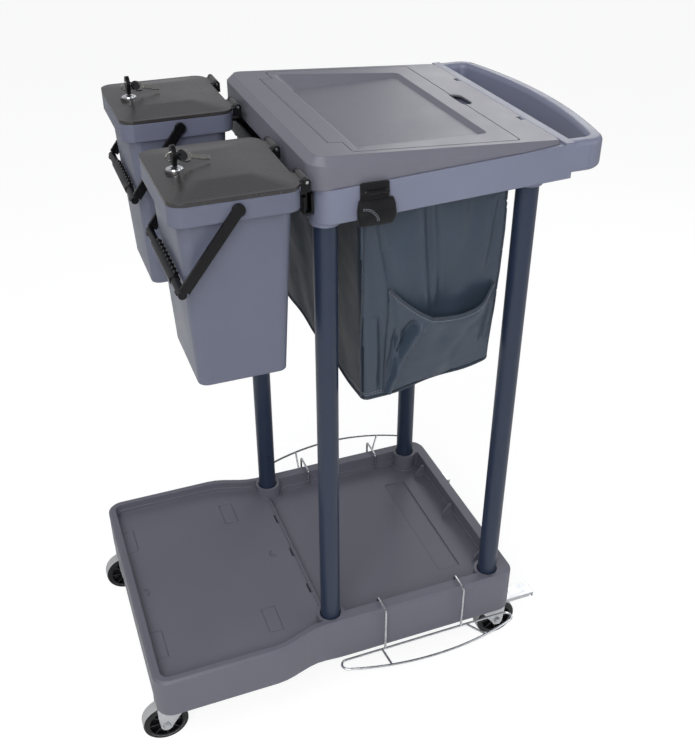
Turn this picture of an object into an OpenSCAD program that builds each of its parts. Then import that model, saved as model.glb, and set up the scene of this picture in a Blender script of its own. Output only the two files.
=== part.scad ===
// Service cart: moulded two-level base on four swivel castors, four posts, top frame with a push
// handle, hinged lid with a drop-in tray flap, two locking buckets, hanging bag and two wire hoops.
// x runs from the bucket end to the push handle, y runs front to back, z is up, floor at z = 0.

/* [Base] */
// Left end of the base
base_x0 = -351; // [-355:1:-345]
// Right end of the base
base_x1 = 291; // [286:1:296]
// Half width of the wide left part
base_half_wide = 230; // [226:1:234]
// Half width of the right part
base_half_narrow = 208; // [206:1:212]
// Radius of the upright corners
base_corner_r = 26; // [20:1:32]
// Height of the rim top
rim_top = 170; // [168:1:173]
// Height of the left deck
deck_left = 150; // [147:1:153]
// Height of the right deck
deck_right = 138; // [136:1:141]
// Height of the skirt bottom at the left
skirt_left = 94; // [90:1:97]
// Height of the skirt bottom at the right
skirt_right = 85; // [84:1:88]
// Rim width round the left deck
rim_w_left = 13; // [11:1:15]
// Rim width round the right deck
rim_w_right = 22; // [20:1:23]
// Moulded wall thickness
wall = 3.5; // [3:0.5:4]

/* [Posts] */
// Middle of the four posts along x
post_mid = 101; // [100:1:102]
// Post spacing along x
post_dx = 293; // [290:1:296]
// Post spacing along y
post_dy = 361; // [358:1:364]
// Post tube radius
post_r = 16; // [15:0.5:16.5]
// Post tube wall
post_wall = 1.5; // [1.2:0.1:2.5]

/* [Top frame] */
// Left end of the frame
frame_x0 = -66; // [-68:1:-64]
// Half width of the frame
frame_half = 208; // [206:1:210]
// Height of the frame bottom edge at its left end
frame_low = 881; // [879:1:883]
// Height of the frame top at its left end
frame_high = 926; // [924:1:928]
// Outermost reach of the handle
handle_reach = 376; // [372:1:380]
// Width of the handle bar
bar_w = 22; // [20:1:26]
// Bow radius of the handle bar
handle_bow = 750; // [650:10:900]
// Half width of the bag mouth
mouth_half = 187.2; // [186.8:0.1:188]

/* [Lid] */
// Left end of the lid
lid_x0 = -72; // [-74:1:-71]
// Half width of the lid
lid_half = 206; // [204:1:207]
// Height of the lid top at its left end
lid_top = 969; // [966:1:972]
// Bevel along the top edges
lid_bevel = 10; // [7:1:12]
// Half width of the flap opening
flap_half = 187; // [184:1:189]
// Gap around the flap
flap_gap = 1.2; // [0.8:0.1:1.6]
// Height of the tray floor in the flap
tray_floor = 947; // [946:0.5:948]

/* [Buckets] */
// Bucket middle along x
bucket_x = -174; // [-175:1:-174]
// Bucket middle from the centre plane
bucket_y = 152; // [150:1:156]
// Height of the bucket floor underside
bucket_low = 694; // [685:1:705]
// Height of the bucket collar top
collar_top = 949; // [948:1:950]
// Collar half length along x
collar_hx = 80; // [79:1:81]
// Collar half width along y
collar_hy = 94; // [92:1:95]
// Bucket wall thickness
bucket_wall = 2.5; // [2:0.1:3]
// Distance from bail pivot to grip
bail_len = 121; // [117:1:125]
// Bail angle from straight down when it rests
bail_rest = 38; // [37.8:0.2:39]

/* [Bag] */
// Height of the bag floor at its left edge
bag_low = 584; // [570:1:600]
// Rise of the bag floor to its right edge
bag_rise = 32; // [20:1:36]
// Bag cloth thickness
cloth = 2; // [1.6:0.1:2.4]

/* [Hoops] */
// Hoop wire radius
wire_r = 2; // [1.6:0.1:2.2]
// Height of the front hoop loop
hoop_z = 86.6; // [85:0.2:90]
// Reach of a hoop loop from its straight wire
hoop_depth = 43; // [40:1:46]
// Outermost reach of both hoops from the centre plane
hoop_reach = 263; // [262:1:266]
// Tilt of the back hoop, which is swung up
hoop_tilt = 39; // [35:1:42]

/* [Castors] */
// Left castor swivel axis
castor_left = -308.5; // [-309:0.5:-308]
// Right castor swivel axis
castor_right = 245.5; // [244:0.5:247]
// Left castor distance from the centre plane
castor_y_left = 184; // [180:1:188]
// Right castor distance from the centre plane
castor_y_right = 174; // [170:1:175]
// Wheel radius
wheel_r = 37.5; // [36:0.5:37.5]
// Wheel width
wheel_w = 25; // [22:1:26]
// Distance of the axle behind the swivel axis
trail = 30; // [28:1:32]

/* [Hidden] */
$fn = 32;
eps = 0.02;
clear = 0.3;
plastic = [0.37, 0.37, 0.40];
plastic_top = [0.55, 0.55, 0.60];
steel_blue = [0.18, 0.22, 0.28];
black = [0.09, 0.09, 0.10];
zinc = [0.78, 0.79, 0.80];
cloth_blue = [0.29, 0.34, 0.39];

post_left = post_mid - post_dx / 2;
post_right = post_mid + post_dx / 2;
post_y = post_dy / 2;
waist_a = -154;
waist_b = -64;
step_x = -49;
boss_r = 23;
socket_floor = 116;
deck_t = 4;
castor_seat = 100;
frame_slope = 0.0415;
seam_slope = 0.0483;
lid_slope = 0.0618;
shoulder_x = 283;
shoulder_top = 945.5;
opening_x0 = 296;
mouth_x0 = -3;
mouth_x1 = 219;
hinge_x = 279;
hinge_z = 944.2;
flap_axis_x = -22;
flap_tab_x0 = -31;
flap_x0 = -11;
flap_x1 = 227;
jog_y = 150;
pivot_z = 938;
knuckle_x = 88.5;
knuckle_z = 953;
lock_x = -51;
plateau_top = 961;
hook_top = 924.9;
rail_x = frame_x0 - clear;
rail_depth = 13;
hook_y = 30;
hook_w = 24;
turn_out = 32;

function smooth(t) = (1 - cos(180 * min(1, max(0, t)))) / 2;
function frame_bottom(x) = frame_low + (x - frame_x0) * frame_slope;
function seam(x) = frame_high + (x - frame_x0) * seam_slope;
function lid_height(x) = lid_top - (x - lid_x0) * lid_slope;

// Flat outline of a rounded rectangle with true corner arcs.
module rounded(x0, x1, y0, y1, r) {
    translate([x0 + r, y0]) square([x1 - x0 - 2 * r, y1 - y0]);
    translate([x0, y0 + r]) square([x1 - x0, y1 - y0 - 2 * r]);
    for (x = [x0 + r, x1 - r])
        for (y = [y0 + r, y1 - r])
            translate([x, y]) circle(r);
}

// Upright prism of a rounded rectangle.
module block(x0, x1, y0, y1, z0, z1, r) {
    translate([0, 0, z0]) linear_extrude(z1 - z0) rounded(x0, x1, y0, y1, r);
}

// Prism along y of a side outline given as x, z points.
module side_prism(pts, half) {
    translate([0, half, 0]) rotate([90, 0, 0]) linear_extrude(2 * half) polygon(pts);
}

// Square bar on its edge that takes the corner off a level edge from p to q.
module edge_cut(p, q, z, c) {
    d = q - p;
    s = c * sqrt(2);
    translate([p[0], p[1], z]) rotate([0, 0, atan2(d[1], d[0])])
        rotate([45, 0, 0]) translate([-eps, -s / 2, -s / 2]) cube([norm(d) + 2 * eps, s, s]);
}

// Skin through rings of points, each with the same number of points, closed at both ends.
module loft(rings) {
    n = len(rings[0]);
    last = (len(rings) - 1) * n;
    sides = [for (j = [0:len(rings) - 2]) for (k = [0:n - 1])
        let (m = (k + 1) % n) [j * n + k, (j + 1) * n + k, (j + 1) * n + m, j * n + m]];
    ends = [[for (k = [0:n - 1]) k], [for (k = [n - 1:-1:0]) last + k]];
    polyhedron([for (ring = rings) each ring], concat(sides, ends), convexity = 8);
}

// Round wire along a flat path of x, y points, its section set square to the path.
module wire(pts, closed, sides) {
    n = len(pts);
    rings = [for (i = [0:n - 1])
        let (
            before = (closed || i > 0) ? pts[(i + n - 1) % n] : pts[0] * 2 - pts[1],
            after = (closed || i < n - 1) ? pts[(i + 1) % n] : pts[n - 1] * 2 - pts[n - 2],
            u = (pts[i] - before) / norm(pts[i] - before),
            w = (after - pts[i]) / norm(after - pts[i]),
            m = [-(u + w)[1], (u + w)[0]] / norm(u + w),
            k = 1 / (m * [-u[1], u[0]])
        )
        for (j = [0:sides - 1])
            let (c = wire_r * k * cos(360 * j / sides))
            [pts[i][0] + m[0] * c, pts[i][1] + m[1] * c, wire_r * sin(360 * j / sides)]];
    spans = closed ? n : n - 1;
    skin = [for (i = [0:spans - 1]) for (j = [0:sides - 1])
        let (a = i * sides, b = ((i + 1) % n) * sides, q = (j + 1) % sides)
        [a + q, a + j, b + j, b + q]];
    ends = closed ? [] : [[for (j = [0:sides - 1]) j], [for (j = [sides - 1:-1:0]) (n - 1) * sides + j]];
    polyhedron(rings, concat(skin, ends), convexity = 8);
}

// Points on an arc, from one angle to another.
function arc(x, y, r, from, to, n) = [for (i = [0:n]) let (w = from + (to - from) * i / n) [x + r * cos(w), y + r * sin(w)]];

// ---- base ----
waist = [for (i = [0:6]) [
    waist_a + (waist_b - waist_a) * i / 6,
    base_half_wide - (base_half_wide - base_half_narrow) * smooth(i / 6)
]];

// Points of the base outline drawn in by e all round.
function base_ring(e) =
    let (r = base_corner_r - e, c = base_corner_r)
    concat(
        arc(base_x1 - c, base_half_narrow - c, r, 0, 90, 8),
        [for (i = [6:-1:0]) [waist[i][0], waist[i][1] - e]],
        arc(base_x0 + c, base_half_wide - c, r, 90, 180, 8),
        arc(base_x0 + c, c - base_half_wide, r, 180, 270, 8),
        [for (p = waist) [p[0], e - p[1]]],
        arc(base_x1 - c, c - base_half_narrow, r, 270, 360, 8)
    );

// Outline of the left deck drawn in by e from the rim.
module deck_plan_left(e, end_x) {
    w = rim_w_left + e;
    r = 14;
    upper = [for (p = waist) [p[0], p[1] - w]];
    lower = [for (i = [6:-1:0]) [waist[i][0], w - waist[i][1]]];
    polygon(concat(
        [[base_x0 + w, base_half_wide - w - r], [base_x0 + w + r, base_half_wide - w]],
        upper,
        [[end_x, base_half_narrow - w], [end_x, w - base_half_narrow]],
        lower,
        [[base_x0 + w + r, w - base_half_wide], [base_x0 + w, w + r - base_half_wide]]
    ));
    for (s = [-1, 1])
        translate([base_x0 + w + r, s * (base_half_wide - w - r)]) circle(r);
}

module post_places() {
    for (x = [post_left, post_right])
        for (s = [-1, 1])
            translate([x, s * post_y, 0]) children();
}

// Space over both decks, with the post bosses left standing.
module deck_space(grow, drop) {
    difference() {
        union() {
            translate([0, 0, deck_left + 8 - drop]) linear_extrude(60) deck_plan_left(-grow, step_x + grow);
            translate([0, 0, deck_left - drop]) linear_extrude(60) deck_plan_left(2 - grow, step_x + grow);
            block(step_x - grow, base_x1 - rim_w_right + 2 + grow, -base_half_narrow + rim_w_right - grow,
                base_half_narrow - rim_w_right + grow, deck_right + 9 - drop, 230, 8);
            block(step_x - grow, base_x1 - rim_w_right + grow, -base_half_narrow + rim_w_right + 2 - grow,
                base_half_narrow - rim_w_right - 2 + grow, deck_right - drop, 230, 8);
        }
        post_places() cylinder(h = 260, r = boss_r - grow);
        for (s = [-1, 1])
            translate([post_right, s * (post_y + 16) - 30 + grow, 0]) cube([60, 60 - 2 * grow, 260]);
    }
}

module base_solid() {
    bottom = [for (i = [0:6]) [-137 + 116 * i / 6, skirt_left - (skirt_left - skirt_right) * smooth(i / 6)]];
    intersection() {
        loft([for (step = [[60, 0], [rim_top - 4, 0], [rim_top + 2, 6]])
            [for (p = base_ring(step[1])) [p[0], p[1], step[0]]]]);
        side_prism(concat([[base_x0 - 1, skirt_left]], bottom, [[base_x1 + 1, skirt_right],
            [base_x1 + 1, rim_top], [base_x0 - 1, rim_top]]), base_half_wide + 9);
    }
}

module base_ribs() {
    for (y = [-110, 0, 110]) {
        translate([base_x0 + wall, y - 1.5, deck_left - 20]) cube([step_x - base_x0 - wall, 3, 18]);
        translate([step_x, y - 1.5, deck_right - 18]) cube([base_x1 - step_x - wall, 3, 16]);
    }
    for (x = [-230, -140])
        translate([x - 1.5, -base_half_narrow, deck_left - 20]) cube([3, 2 * base_half_narrow, 18]);
    for (x = [30, 110, 190])
        translate([x - 1.5, 8 - base_half_narrow, deck_right - 18]) cube([3, 2 * base_half_narrow - 16, 16]);
}

module castor_pads() {
    for (s = [-1, 1]) {
        translate([castor_left - 29, s * castor_y_left - 29, castor_seat]) cube([58, 58, deck_left - castor_seat - 2]);
        translate([castor_right - 29, s * castor_y_right - 29, castor_seat]) cube([58, 58, deck_right - castor_seat - 2]);
    }
}

// Every castor screw position in plan.
module castor_screw_places() {
    for (c = [[castor_left, castor_y_left], [castor_right, castor_y_right]])
        for (s = [-1, 1])
            for (x = [-21, 21])
                for (y = [-21, 21])
                    translate([c[0] + x, s * c[1] + y, 0]) children();
}

// Shallow line around a rectangle moulded into the left deck.
module deck_mark(x, y, w, l) {
    translate([x, y, deck_left - 1]) difference() {
        translate([-w / 2, -l / 2, 0]) cube([w, l, 3]);
        translate([1.5 - w / 2, 1.5 - l / 2, -1]) cube([w - 3, l - 3, 5]);
    }
}

module deck_arc(x, y, turn) {
    translate([x, y, deck_left]) rotate([0, 0, turn]) rotate_extrude(angle = 150)
        translate([7, -0.5]) square([2, 2.3]);
}

// Small upright rib against the handle-end rim.
module end_rib(y) {
    x = base_x1 - rim_w_right + 1;
    translate([0, y + 2, 0]) rotate([90, 0, 0]) linear_extrude(4)
        polygon([[x, deck_right - 1], [x - 20, deck_right - 1], [x - 20, deck_right + 8], [x - 6, rim_top - 6], [x, rim_top - 6]]);
}

module base_tray() {
    color(plastic) difference() {
        union() {
            difference() {
                base_solid();
                difference() {
                    translate([0, 0, -1]) linear_extrude(rim_top + 1 - wall) polygon(base_ring(wall));
                    deck_space(wall, deck_t);
                    post_places() translate([0, 0, socket_floor - 4]) cylinder(h = 90, r = boss_r);
                    for (x = [post_left, post_right])
                        translate([x - 12, -300, socket_floor]) cube([24, 600, 90]);
                }
                deck_space(0, 0);
            }
            intersection() {
                union() {
                    base_ribs();
                    castor_pads();
                }
                translate([0, 0, 60]) linear_extrude(100) polygon(base_ring(wall / 2));
            }
            for (s = [-1, 1])
                for (x = [post_left, post_right])
                    translate([x, s * post_y, deck_right - 1]) cylinder(h = 3.5, r = boss_r + 4);
            translate([step_x - 3, -base_half_narrow + rim_w_right + 30, deck_left - 1])
                cube([3, 2 * (base_half_narrow - rim_w_right - 30), 3.2]);
            for (y = [-128, 3, 130])
                end_rib(y);
            deck_arc(-341 + 15, -8, -60);
            deck_arc(-86, 8, 120);
        }
        post_places() {
            translate([0, 0, socket_floor]) cylinder(h = 90, r = post_r + 0.1, $fn = 48);
            translate([0, 0, rim_top - 7]) cylinder(h = 20, r = post_r + 1.6, $fn = 48);
        }
        for (s = [-1, 1]) {
            translate([post_right - 3.5, s * (post_y + 20.8), rim_top - 12]) cylinder(h = 30, r = 1.7, $fn = 20);
            deck_mark(-327, s * 130, 24, 60);
            deck_mark(-136, s * 143, 25, 56);
        }
        block(182, 223, -128, 128, deck_right - 2.5, deck_right + 20, 4);
        for (y = [-96, 0, 96])
            translate([step_x - 8, y - 12, deck_left - 9]) cube([3.2, 24, 20]);
        castor_screw_places() translate([0, 0, castor_seat - 1]) cylinder(h = 14, r = 2.6, $fn = 20);
    }
}

module post(x, s, top) {
    color(steel_blue) translate([x, s * post_y, socket_floor]) difference() {
        cylinder(h = top - socket_floor, r = post_r, $fn = 48);
        translate([0, 0, -1]) cylinder(h = top - socket_floor + 2, r = post_r - post_wall, $fn = 48);
    }
}
post_top_left = seam(post_left) - 12;
post_top_right = seam(post_right) - 12;

module post_front_left() { post(post_left, -1, post_top_left); }
module post_back_left() { post(post_left, 1, post_top_left); }
module post_front_right() { post(post_right, -1, post_top_right); }
module post_back_right() { post(post_right, 1, post_top_right); }

// ---- top frame ----
bow_x = handle_reach - handle_bow;
bar_mid = handle_bow - bar_w / 2;
bar_h = 44;
bar_round = 8;
turn_r = turn_out - bar_w / 2;
turn_y = frame_half - turn_out;
turn_a = asin(turn_y / (handle_bow - turn_out));
turn_x = bow_x + (handle_bow - turn_out) * cos(turn_a);

// Cross-section of the handle bar about its middle, x across, y up, drawn in by e.
module bar_section(e) {
    half = bar_w / 2 - e;
    low = shoulder_top - bar_h + e;
    high = shoulder_top - e;
    r = bar_round - e;
    rounded(-half, half, low, high, r, $fn = 24);
}

module handle_loop() {
    lap = 0.12;
    translate([bow_x, 0, 0]) rotate([0, 0, -turn_a - lap]) rotate_extrude(angle = 2 * (turn_a + lap), $fn = 240)
        translate([bar_mid, 0]) bar_section(0.15);
    for (s = [-1, 1]) {
        translate([turn_x, s * turn_y, 0]) rotate([0, 0, s > 0 ? turn_a : -90])
            rotate_extrude(angle = 90 - turn_a, $fn = 64) translate([turn_r, 0]) bar_section(0);
        translate([opening_x0 - 12, s * (frame_half - bar_w / 2), 0]) rotate([90, 0, 90])
            linear_extrude(turn_x - opening_x0 + 12) bar_section(0);
    }
}

// Side outline of the frame body with its top lowered by e.
function frame_side(e, x1) = [
    [frame_x0 - 1, frame_bottom(frame_x0) - (e > 0 ? 20 : 0)],
    [x1, frame_bottom(x1) - (e > 0 ? 20 : 0)],
    [x1, shoulder_top - e],
    [shoulder_x + e, shoulder_top - e],
    [shoulder_x + e, seam(shoulder_x) - e],
    [frame_x0 - 1, seam(frame_x0) - e]
];

module frame_body(e) {
    intersection() {
        translate([0, 0, 800]) linear_extrude(200)
            rounded(frame_x0 + e, opening_x0 - e, e - frame_half, frame_half - e, 28 - e);
        side_prism(frame_side(e, opening_x0 + 1), frame_half + 5);
    }
    if (e == 0)
        for (s = [-1, 1])
            intersection() {
                translate([opening_x0 - 40, s > 0 ? frame_half - 40 : -frame_half, 800]) cube([40, 40, 200]);
                side_prism(frame_side(0, opening_x0 + 1), frame_half + 5);
            }
}

module lid_lug(y, w) {
    translate([hinge_x, y, hinge_z]) rotate([-90, 0, 0]) cylinder(h = w, r = 3.2, $fn = 24);
}

module upper_frame() {
    color(plastic_top) difference() {
        union() {
            difference() {
                frame_body(0);
                difference() {
                    frame_body(wall);
                    block(mouth_x0 - 3, mouth_x1 + 3, -mouth_half - 3, mouth_half + 3, 700, 1000, 9);
                    post_places() translate([0, 0, 800]) cylinder(h = 200, r = 21);
                }
            }
            for (s = [-1, 1]) {
                translate([post_left, s * post_y, frame_bottom(post_left) - 7])
                    cylinder(h = 30, r = 20);
                translate([post_right, s * post_y, frame_bottom(post_right) - 7])
                    cylinder(h = 30, r = 20);
                for (x = [60, 150])
                    translate([x, s > 0 ? mouth_half : -frame_half + 1, frame_bottom(x) + 6])
                        cube([3, frame_half - mouth_half - 1, 26]);
            }
            for (s = [-1, 1])
                lid_lug(s * 100 - 6, 12);
            handle_loop();
        }
        block(mouth_x0, mouth_x1, -mouth_half, mouth_half, 700, 1000, 6);
        for (x = [post_left, post_right])
            for (s = [-1, 1])
                translate([x, s * post_y, 800]) cylinder(h = seam(x) - 12 - 800, r = post_r + 0.1, $fn = 48);
        difference() {
            translate([hinge_x, -195, hinge_z]) rotate([-90, 0, 0]) cylinder(h = 390, r = 3.8, $fn = 24);
            for (s = [-1, 1])
                translate([hinge_x - 6, s * 100 - 6, hinge_z - 8]) cube([12, 12, 16]);
        }
        translate([hinge_x, -194, hinge_z]) rotate([-90, 0, 0]) cylinder(h = 388, r = 1.55, $fn = 20);
        for (y = [-150, -50, 50, 150])
            translate([frame_x0 - 5, y, 905]) rotate([0, 90, 0]) cylinder(h = 15, r = 1.7, $fn = 18);
    }
}

// ---- lid ----
// Thin rounded slab that lies in a plane sloping along x, drawn in by e at its left and sides.
module slope_slab(z, slope, e, r) {
    translate([0, 0, z]) rotate([0, -atan(slope), 0]) linear_extrude(0.4) {
        rounded(lid_x0 + e, hinge_x - 20, e - lid_half, lid_half - e, r);
        translate([hinge_x - 60, e - lid_half]) square([60, 2 * (lid_half - e)]);
    }
}

// Outer body of the lid drawn in by e: sloping top, level sides, bevelled upper edges.
module lid_solid(e) {
    intersection() {
        hull() {
            slope_slab(seam(0) - 10, seam_slope, e, 26 - e);
            slope_slab(lid_height(0) - e - 0.4 - lid_bevel, -lid_slope, e, 26 - e);
            slope_slab(lid_height(0) - e - 0.4, -lid_slope, e + lid_bevel, 16);
        }
        side_prism([[lid_x0 - 5, seam(lid_x0 - 5) + 0.4 - e], [hinge_x + 1, seam(hinge_x + 1) + 0.4 - e],
            [hinge_x + 1, 1000], [lid_x0 - 5, 1000]], lid_half + 5);
    }
}

// Outline of the flap opening drawn in by e.
module flap_plan(e) {
    rounded(flap_x0 + e, flap_x1 - e, e - flap_half, flap_half - e, 6);
    translate([flap_tab_x0 + e, e - jog_y]) square([30, 2 * (jog_y - e)]);
}

module lid() {
    color(plastic_top) difference() {
        union() {
            difference() {
                lid_solid(0);
                difference() {
                    lid_solid(3);
                    translate([0, 0, 900]) linear_extrude(200) flap_plan(-3);
                    for (y = [-1, 1])
                        translate([flap_axis_x - 7, y > 0 ? jog_y : -jog_y - 14, 900]) cube([14, 14, 200]);
                }
            }
            difference() {
                translate([hinge_x, -190, hinge_z]) rotate([-90, 0, 0]) cylinder(h = 380, r = 3.2, $fn = 24);
                for (s = [-1, 1])
                    translate([hinge_x - 8, s * 100 - 6.5, hinge_z - 8]) cube([16, 13, 16]);
            }
        }
        for (s = [-1, 1])
            translate([hinge_x - 8, s * 100 - 6.5, hinge_z - 8]) cube([16, 13, 16]);
        translate([0, 0, 900]) linear_extrude(200) flap_plan(0);
        translate([0, 0, 900]) linear_extrude(200) rounded(flap_x1 - 12, flap_x1 + 14, -25, 25, 11);
        translate([hinge_x, -194, hinge_z]) rotate([-90, 0, 0]) cylinder(h = 388, r = 1.55, $fn = 20);
        for (s = [-1, 1])
            translate([flap_axis_x, s * (jog_y + 5) - 7, flap_axis_z]) rotate([-90, 0, 0])
                cylinder(h = 14, r = 1.8, $fn = 20);
    }
}
flap_axis_z = lid_height(flap_axis_x) - 5;

module lid_hinge_pin() {
    color(zinc) translate([hinge_x, -189, hinge_z]) rotate([-90, 0, 0]) cylinder(h = 378, r = 1.5, $fn = 20);
}

module flap_side(drop) {
    side_prism([
        [flap_tab_x0 - 5, lid_height(flap_tab_x0 - 5) - drop],
        [flap_x1 + 5, lid_height(flap_x1 + 5) - drop],
        [flap_x1 + 5, lid_height(flap_x1 + 5)],
        [flap_tab_x0 - 5, lid_height(flap_tab_x0 - 5)]
    ], flap_half + 5);
}

// Drafted tray shape; its top follows the sloping lid, its floor is level.
module tray_shape(e, floor_z) {
    intersection() {
        hull() {
            block(18 - e, 189 + e, -144 - e, 144 + e, floor_z, floor_z + 0.5, 9);
            block(-6 - e, 218 + e, -178 - e, 178 + e, lid_height(0) + 4, lid_height(0) + 4.5, 9);
        }
        side_prism([[-30, 900], [260, 900], [260, lid_height(260) + (e > 0 ? 0 : 9)],
            [-30, lid_height(-30) + (e > 0 ? 0 : 9)]], 300);
    }
}

module lid_flap() {
    color(plastic_top) difference() {
        union() {
            intersection() {
                flap_side(3);
                translate([0, 0, 900]) linear_extrude(200) flap_plan(flap_gap);
            }
            intersection() {
                flap_side(8.5);
                translate([flap_tab_x0 + flap_gap, flap_gap - jog_y, 900]) cube([16, 2 * (jog_y - flap_gap), 200]);
            }
            tray_shape(2.2, tray_floor - 2.5);
        }
        tray_shape(0, tray_floor);
        edge_cut([flap_tab_x0 + flap_gap, -jog_y], [flap_tab_x0 + flap_gap, jog_y], lid_height(flap_tab_x0), 2.5);
        translate([0, 0, 900]) linear_extrude(200) rounded(flap_x1 - 4, flap_x1 + 10, -25, 25, 4);
        for (s = [-1, 1])
            translate([flap_axis_x, s * (jog_y - 7) - 9, flap_axis_z]) rotate([-90, 0, 0])
                cylinder(h = 18, r = 1.8, $fn = 20);
    }
}

module flap_hinge_pins() {
    color(zinc) for (s = [-1, 1])
        translate([flap_axis_x, s * (jog_y - 2) - 11, flap_axis_z]) rotate([-90, 0, 0])
            cylinder(h = 22, r = 1.75, $fn = 20);
}

// ---- bucket rail ----
module bucket_rail() {
    color(black) difference() {
        union() {
            translate([rail_x - 3, -198, 896]) cube([3, 396, 27]);
            translate([rail_x - rail_depth, -198, 896]) cube([rail_depth - 1, 396, 3]);
            translate([rail_x - rail_depth, -198, 896]) cube([3, 396, 24]);
        }
        for (y = [-150, -50, 50, 150])
            translate([rail_x - 20, y, 905]) rotate([0, 90, 0]) cylinder(h = 25, r = 1.7, $fn = 18);
        for (y = [-150, -50, 50, 150])
            translate([rail_x - rail_depth - 2, y, 905]) rotate([0, 90, 0]) cylinder(h = 8, r = 5, $fn = 18);
    }
}

module rail_screws() {
    color(zinc) for (y = [-150, -50, 50, 150])
        translate([rail_x - 3.1, y, 905]) {
            rotate([0, 90, 0]) cylinder(h = 10, r = 1.65, $fn = 18);
            rotate([0, -90, 0]) cylinder(h = 1.8, r = 3.5, $fn = 24);
        }
}

// ---- buckets, drawn about their own middle ----
module bucket_at(s) {
    translate([bucket_x, s * bucket_y, 0]) children();
}

module bucket_shape(e, z0) {
    z1 = collar_top - 2;
    low_x = 59.5 - e;
    low_y = 72.5 - e;
    hull() {
        block(-low_x, low_x, -low_y, low_y, z0, z0 + 0.5, 13 - e);
        block(e - 71.5, 71.5 - e, e - 86, 86 - e, z1 - 0.5, z1, 17 - e);
    }
}

module bucket() {
    difference() {
        union() {
            bucket_shape(0, bucket_low);
            difference() {
                block(-collar_hx, collar_hx, -collar_hy, collar_hy, collar_top - 25, collar_top, 19);
                block(bucket_wall - collar_hx, collar_hx - bucket_wall, bucket_wall - collar_hy, collar_hy - bucket_wall,
                    collar_top - 40, collar_top - 2.5, 17);
            }
            for (s = [-1, 1]) {
                rotate([s * -90, 0, 0]) translate([0, -pivot_z * s, collar_hy - 1]) cylinder(h = 4.4, r = 4, $fn = 24);
                for (t = [-1, 1])
                    translate([0, s * 60 + t * 17.3 - 4, 0]) hinge_lug(8);
                translate([68, s * hook_y - hook_w / 2, hook_top - 4]) cube([rail_x - 6.6 - bucket_x - 68, hook_w, 4]);
                translate([rail_x - 9 - bucket_x, s * hook_y - hook_w / 2, 900]) cube([2.4, hook_w, hook_top - 900]);
            }
        }
        bucket_shape(bucket_wall, bucket_low + bucket_wall);
        translate([0, 0, collar_top - 3]) linear_extrude(10) rounded(-68.5, 68.5, -83, 83, 12);
        for (s = [-1, 1])
            translate([knuckle_x, s * 60 - 24, knuckle_z]) rotate([-90, 0, 0]) cylinder(h = 48, r = 2.05, $fn = 20);
    }
}

module hinge_lug(w) {
    translate([knuckle_x, 0, knuckle_z]) rotate([-90, 0, 0]) cylinder(h = w, r = 4.5, $fn = 24);
    translate([collar_hx + 0.4, 0, collar_top - 8]) cube([knuckle_x + 4.1 - collar_hx, w, 12]);
    translate([collar_hx - 1, 0, collar_top - 8]) cube([6, w, 8]);
}

module bucket_front() { color(plastic) bucket_at(-1) bucket(); }
module bucket_back() { color(plastic) bucket_at(1) bucket(); }

module bucket_lid() {
    z0 = collar_top + clear;
    z1 = collar_top + 5;
    difference() {
        union() {
            block(-collar_hx, collar_hx, -collar_hy, collar_hy, z0, z1, 19);
            hull() {
                block(-71, 73, -86, 86, z1 - 0.5, z1, 14);
                block(-38, 34, -53, 53, plateau_top - 0.5, plateau_top, 9);
            }
            translate([lock_x, 0, z0]) cylinder(h = plateau_top - 1.5 - z0, r = 12.5);
            for (s = [-1, 1])
                translate([0, s * 60 - 13, 0]) {
                    translate([knuckle_x, 0, knuckle_z]) rotate([-90, 0, 0]) cylinder(h = 26, r = 4.5, $fn = 24);
                    translate([collar_hx - 3, 0, z0]) cube([knuckle_x - collar_hx + 3, 26, 4.5]);
                }
            difference() {
                block(-67.5, 67.5, -82, 82, z0 - 6, z0 + 1, 11);
                block(-65, 65, -79.5, 79.5, z0 - 7, z0 + 0.5, 9);
            }
        }
        hull() {
            block(-64.5, 64.5, -79, 79, z0 - 1, z0, 9);
            block(-34, 30, -49, 49, plateau_top - 3, plateau_top - 2.5, 8);
        }
        translate([lock_x, 0, z0 - 10]) cylinder(h = 30, r = 8, $fn = 32);
        translate([lock_x, 0, plateau_top - 1.45]) cylinder(h = 12, r = 10.7, $fn = 40);
        for (s = [-1, 1])
            translate([knuckle_x, s * 60 - 24, knuckle_z]) rotate([-90, 0, 0]) cylinder(h = 48, r = 2.05, $fn = 20);
    }
}

module bucket_lid_front() { color(black) bucket_at(-1) bucket_lid(); }
module bucket_lid_back() { color(black) bucket_at(1) bucket_lid(); }

module bucket_pins() {
    for (s = [-1, 1])
        translate([knuckle_x, s * 60 - 21, knuckle_z]) rotate([-90, 0, 0]) cylinder(h = 42, r = 2, $fn = 20);
}

module bucket_pins_front() { color(zinc) bucket_at(-1) bucket_pins(); }
module bucket_pins_back() { color(zinc) bucket_at(1) bucket_pins(); }

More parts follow.
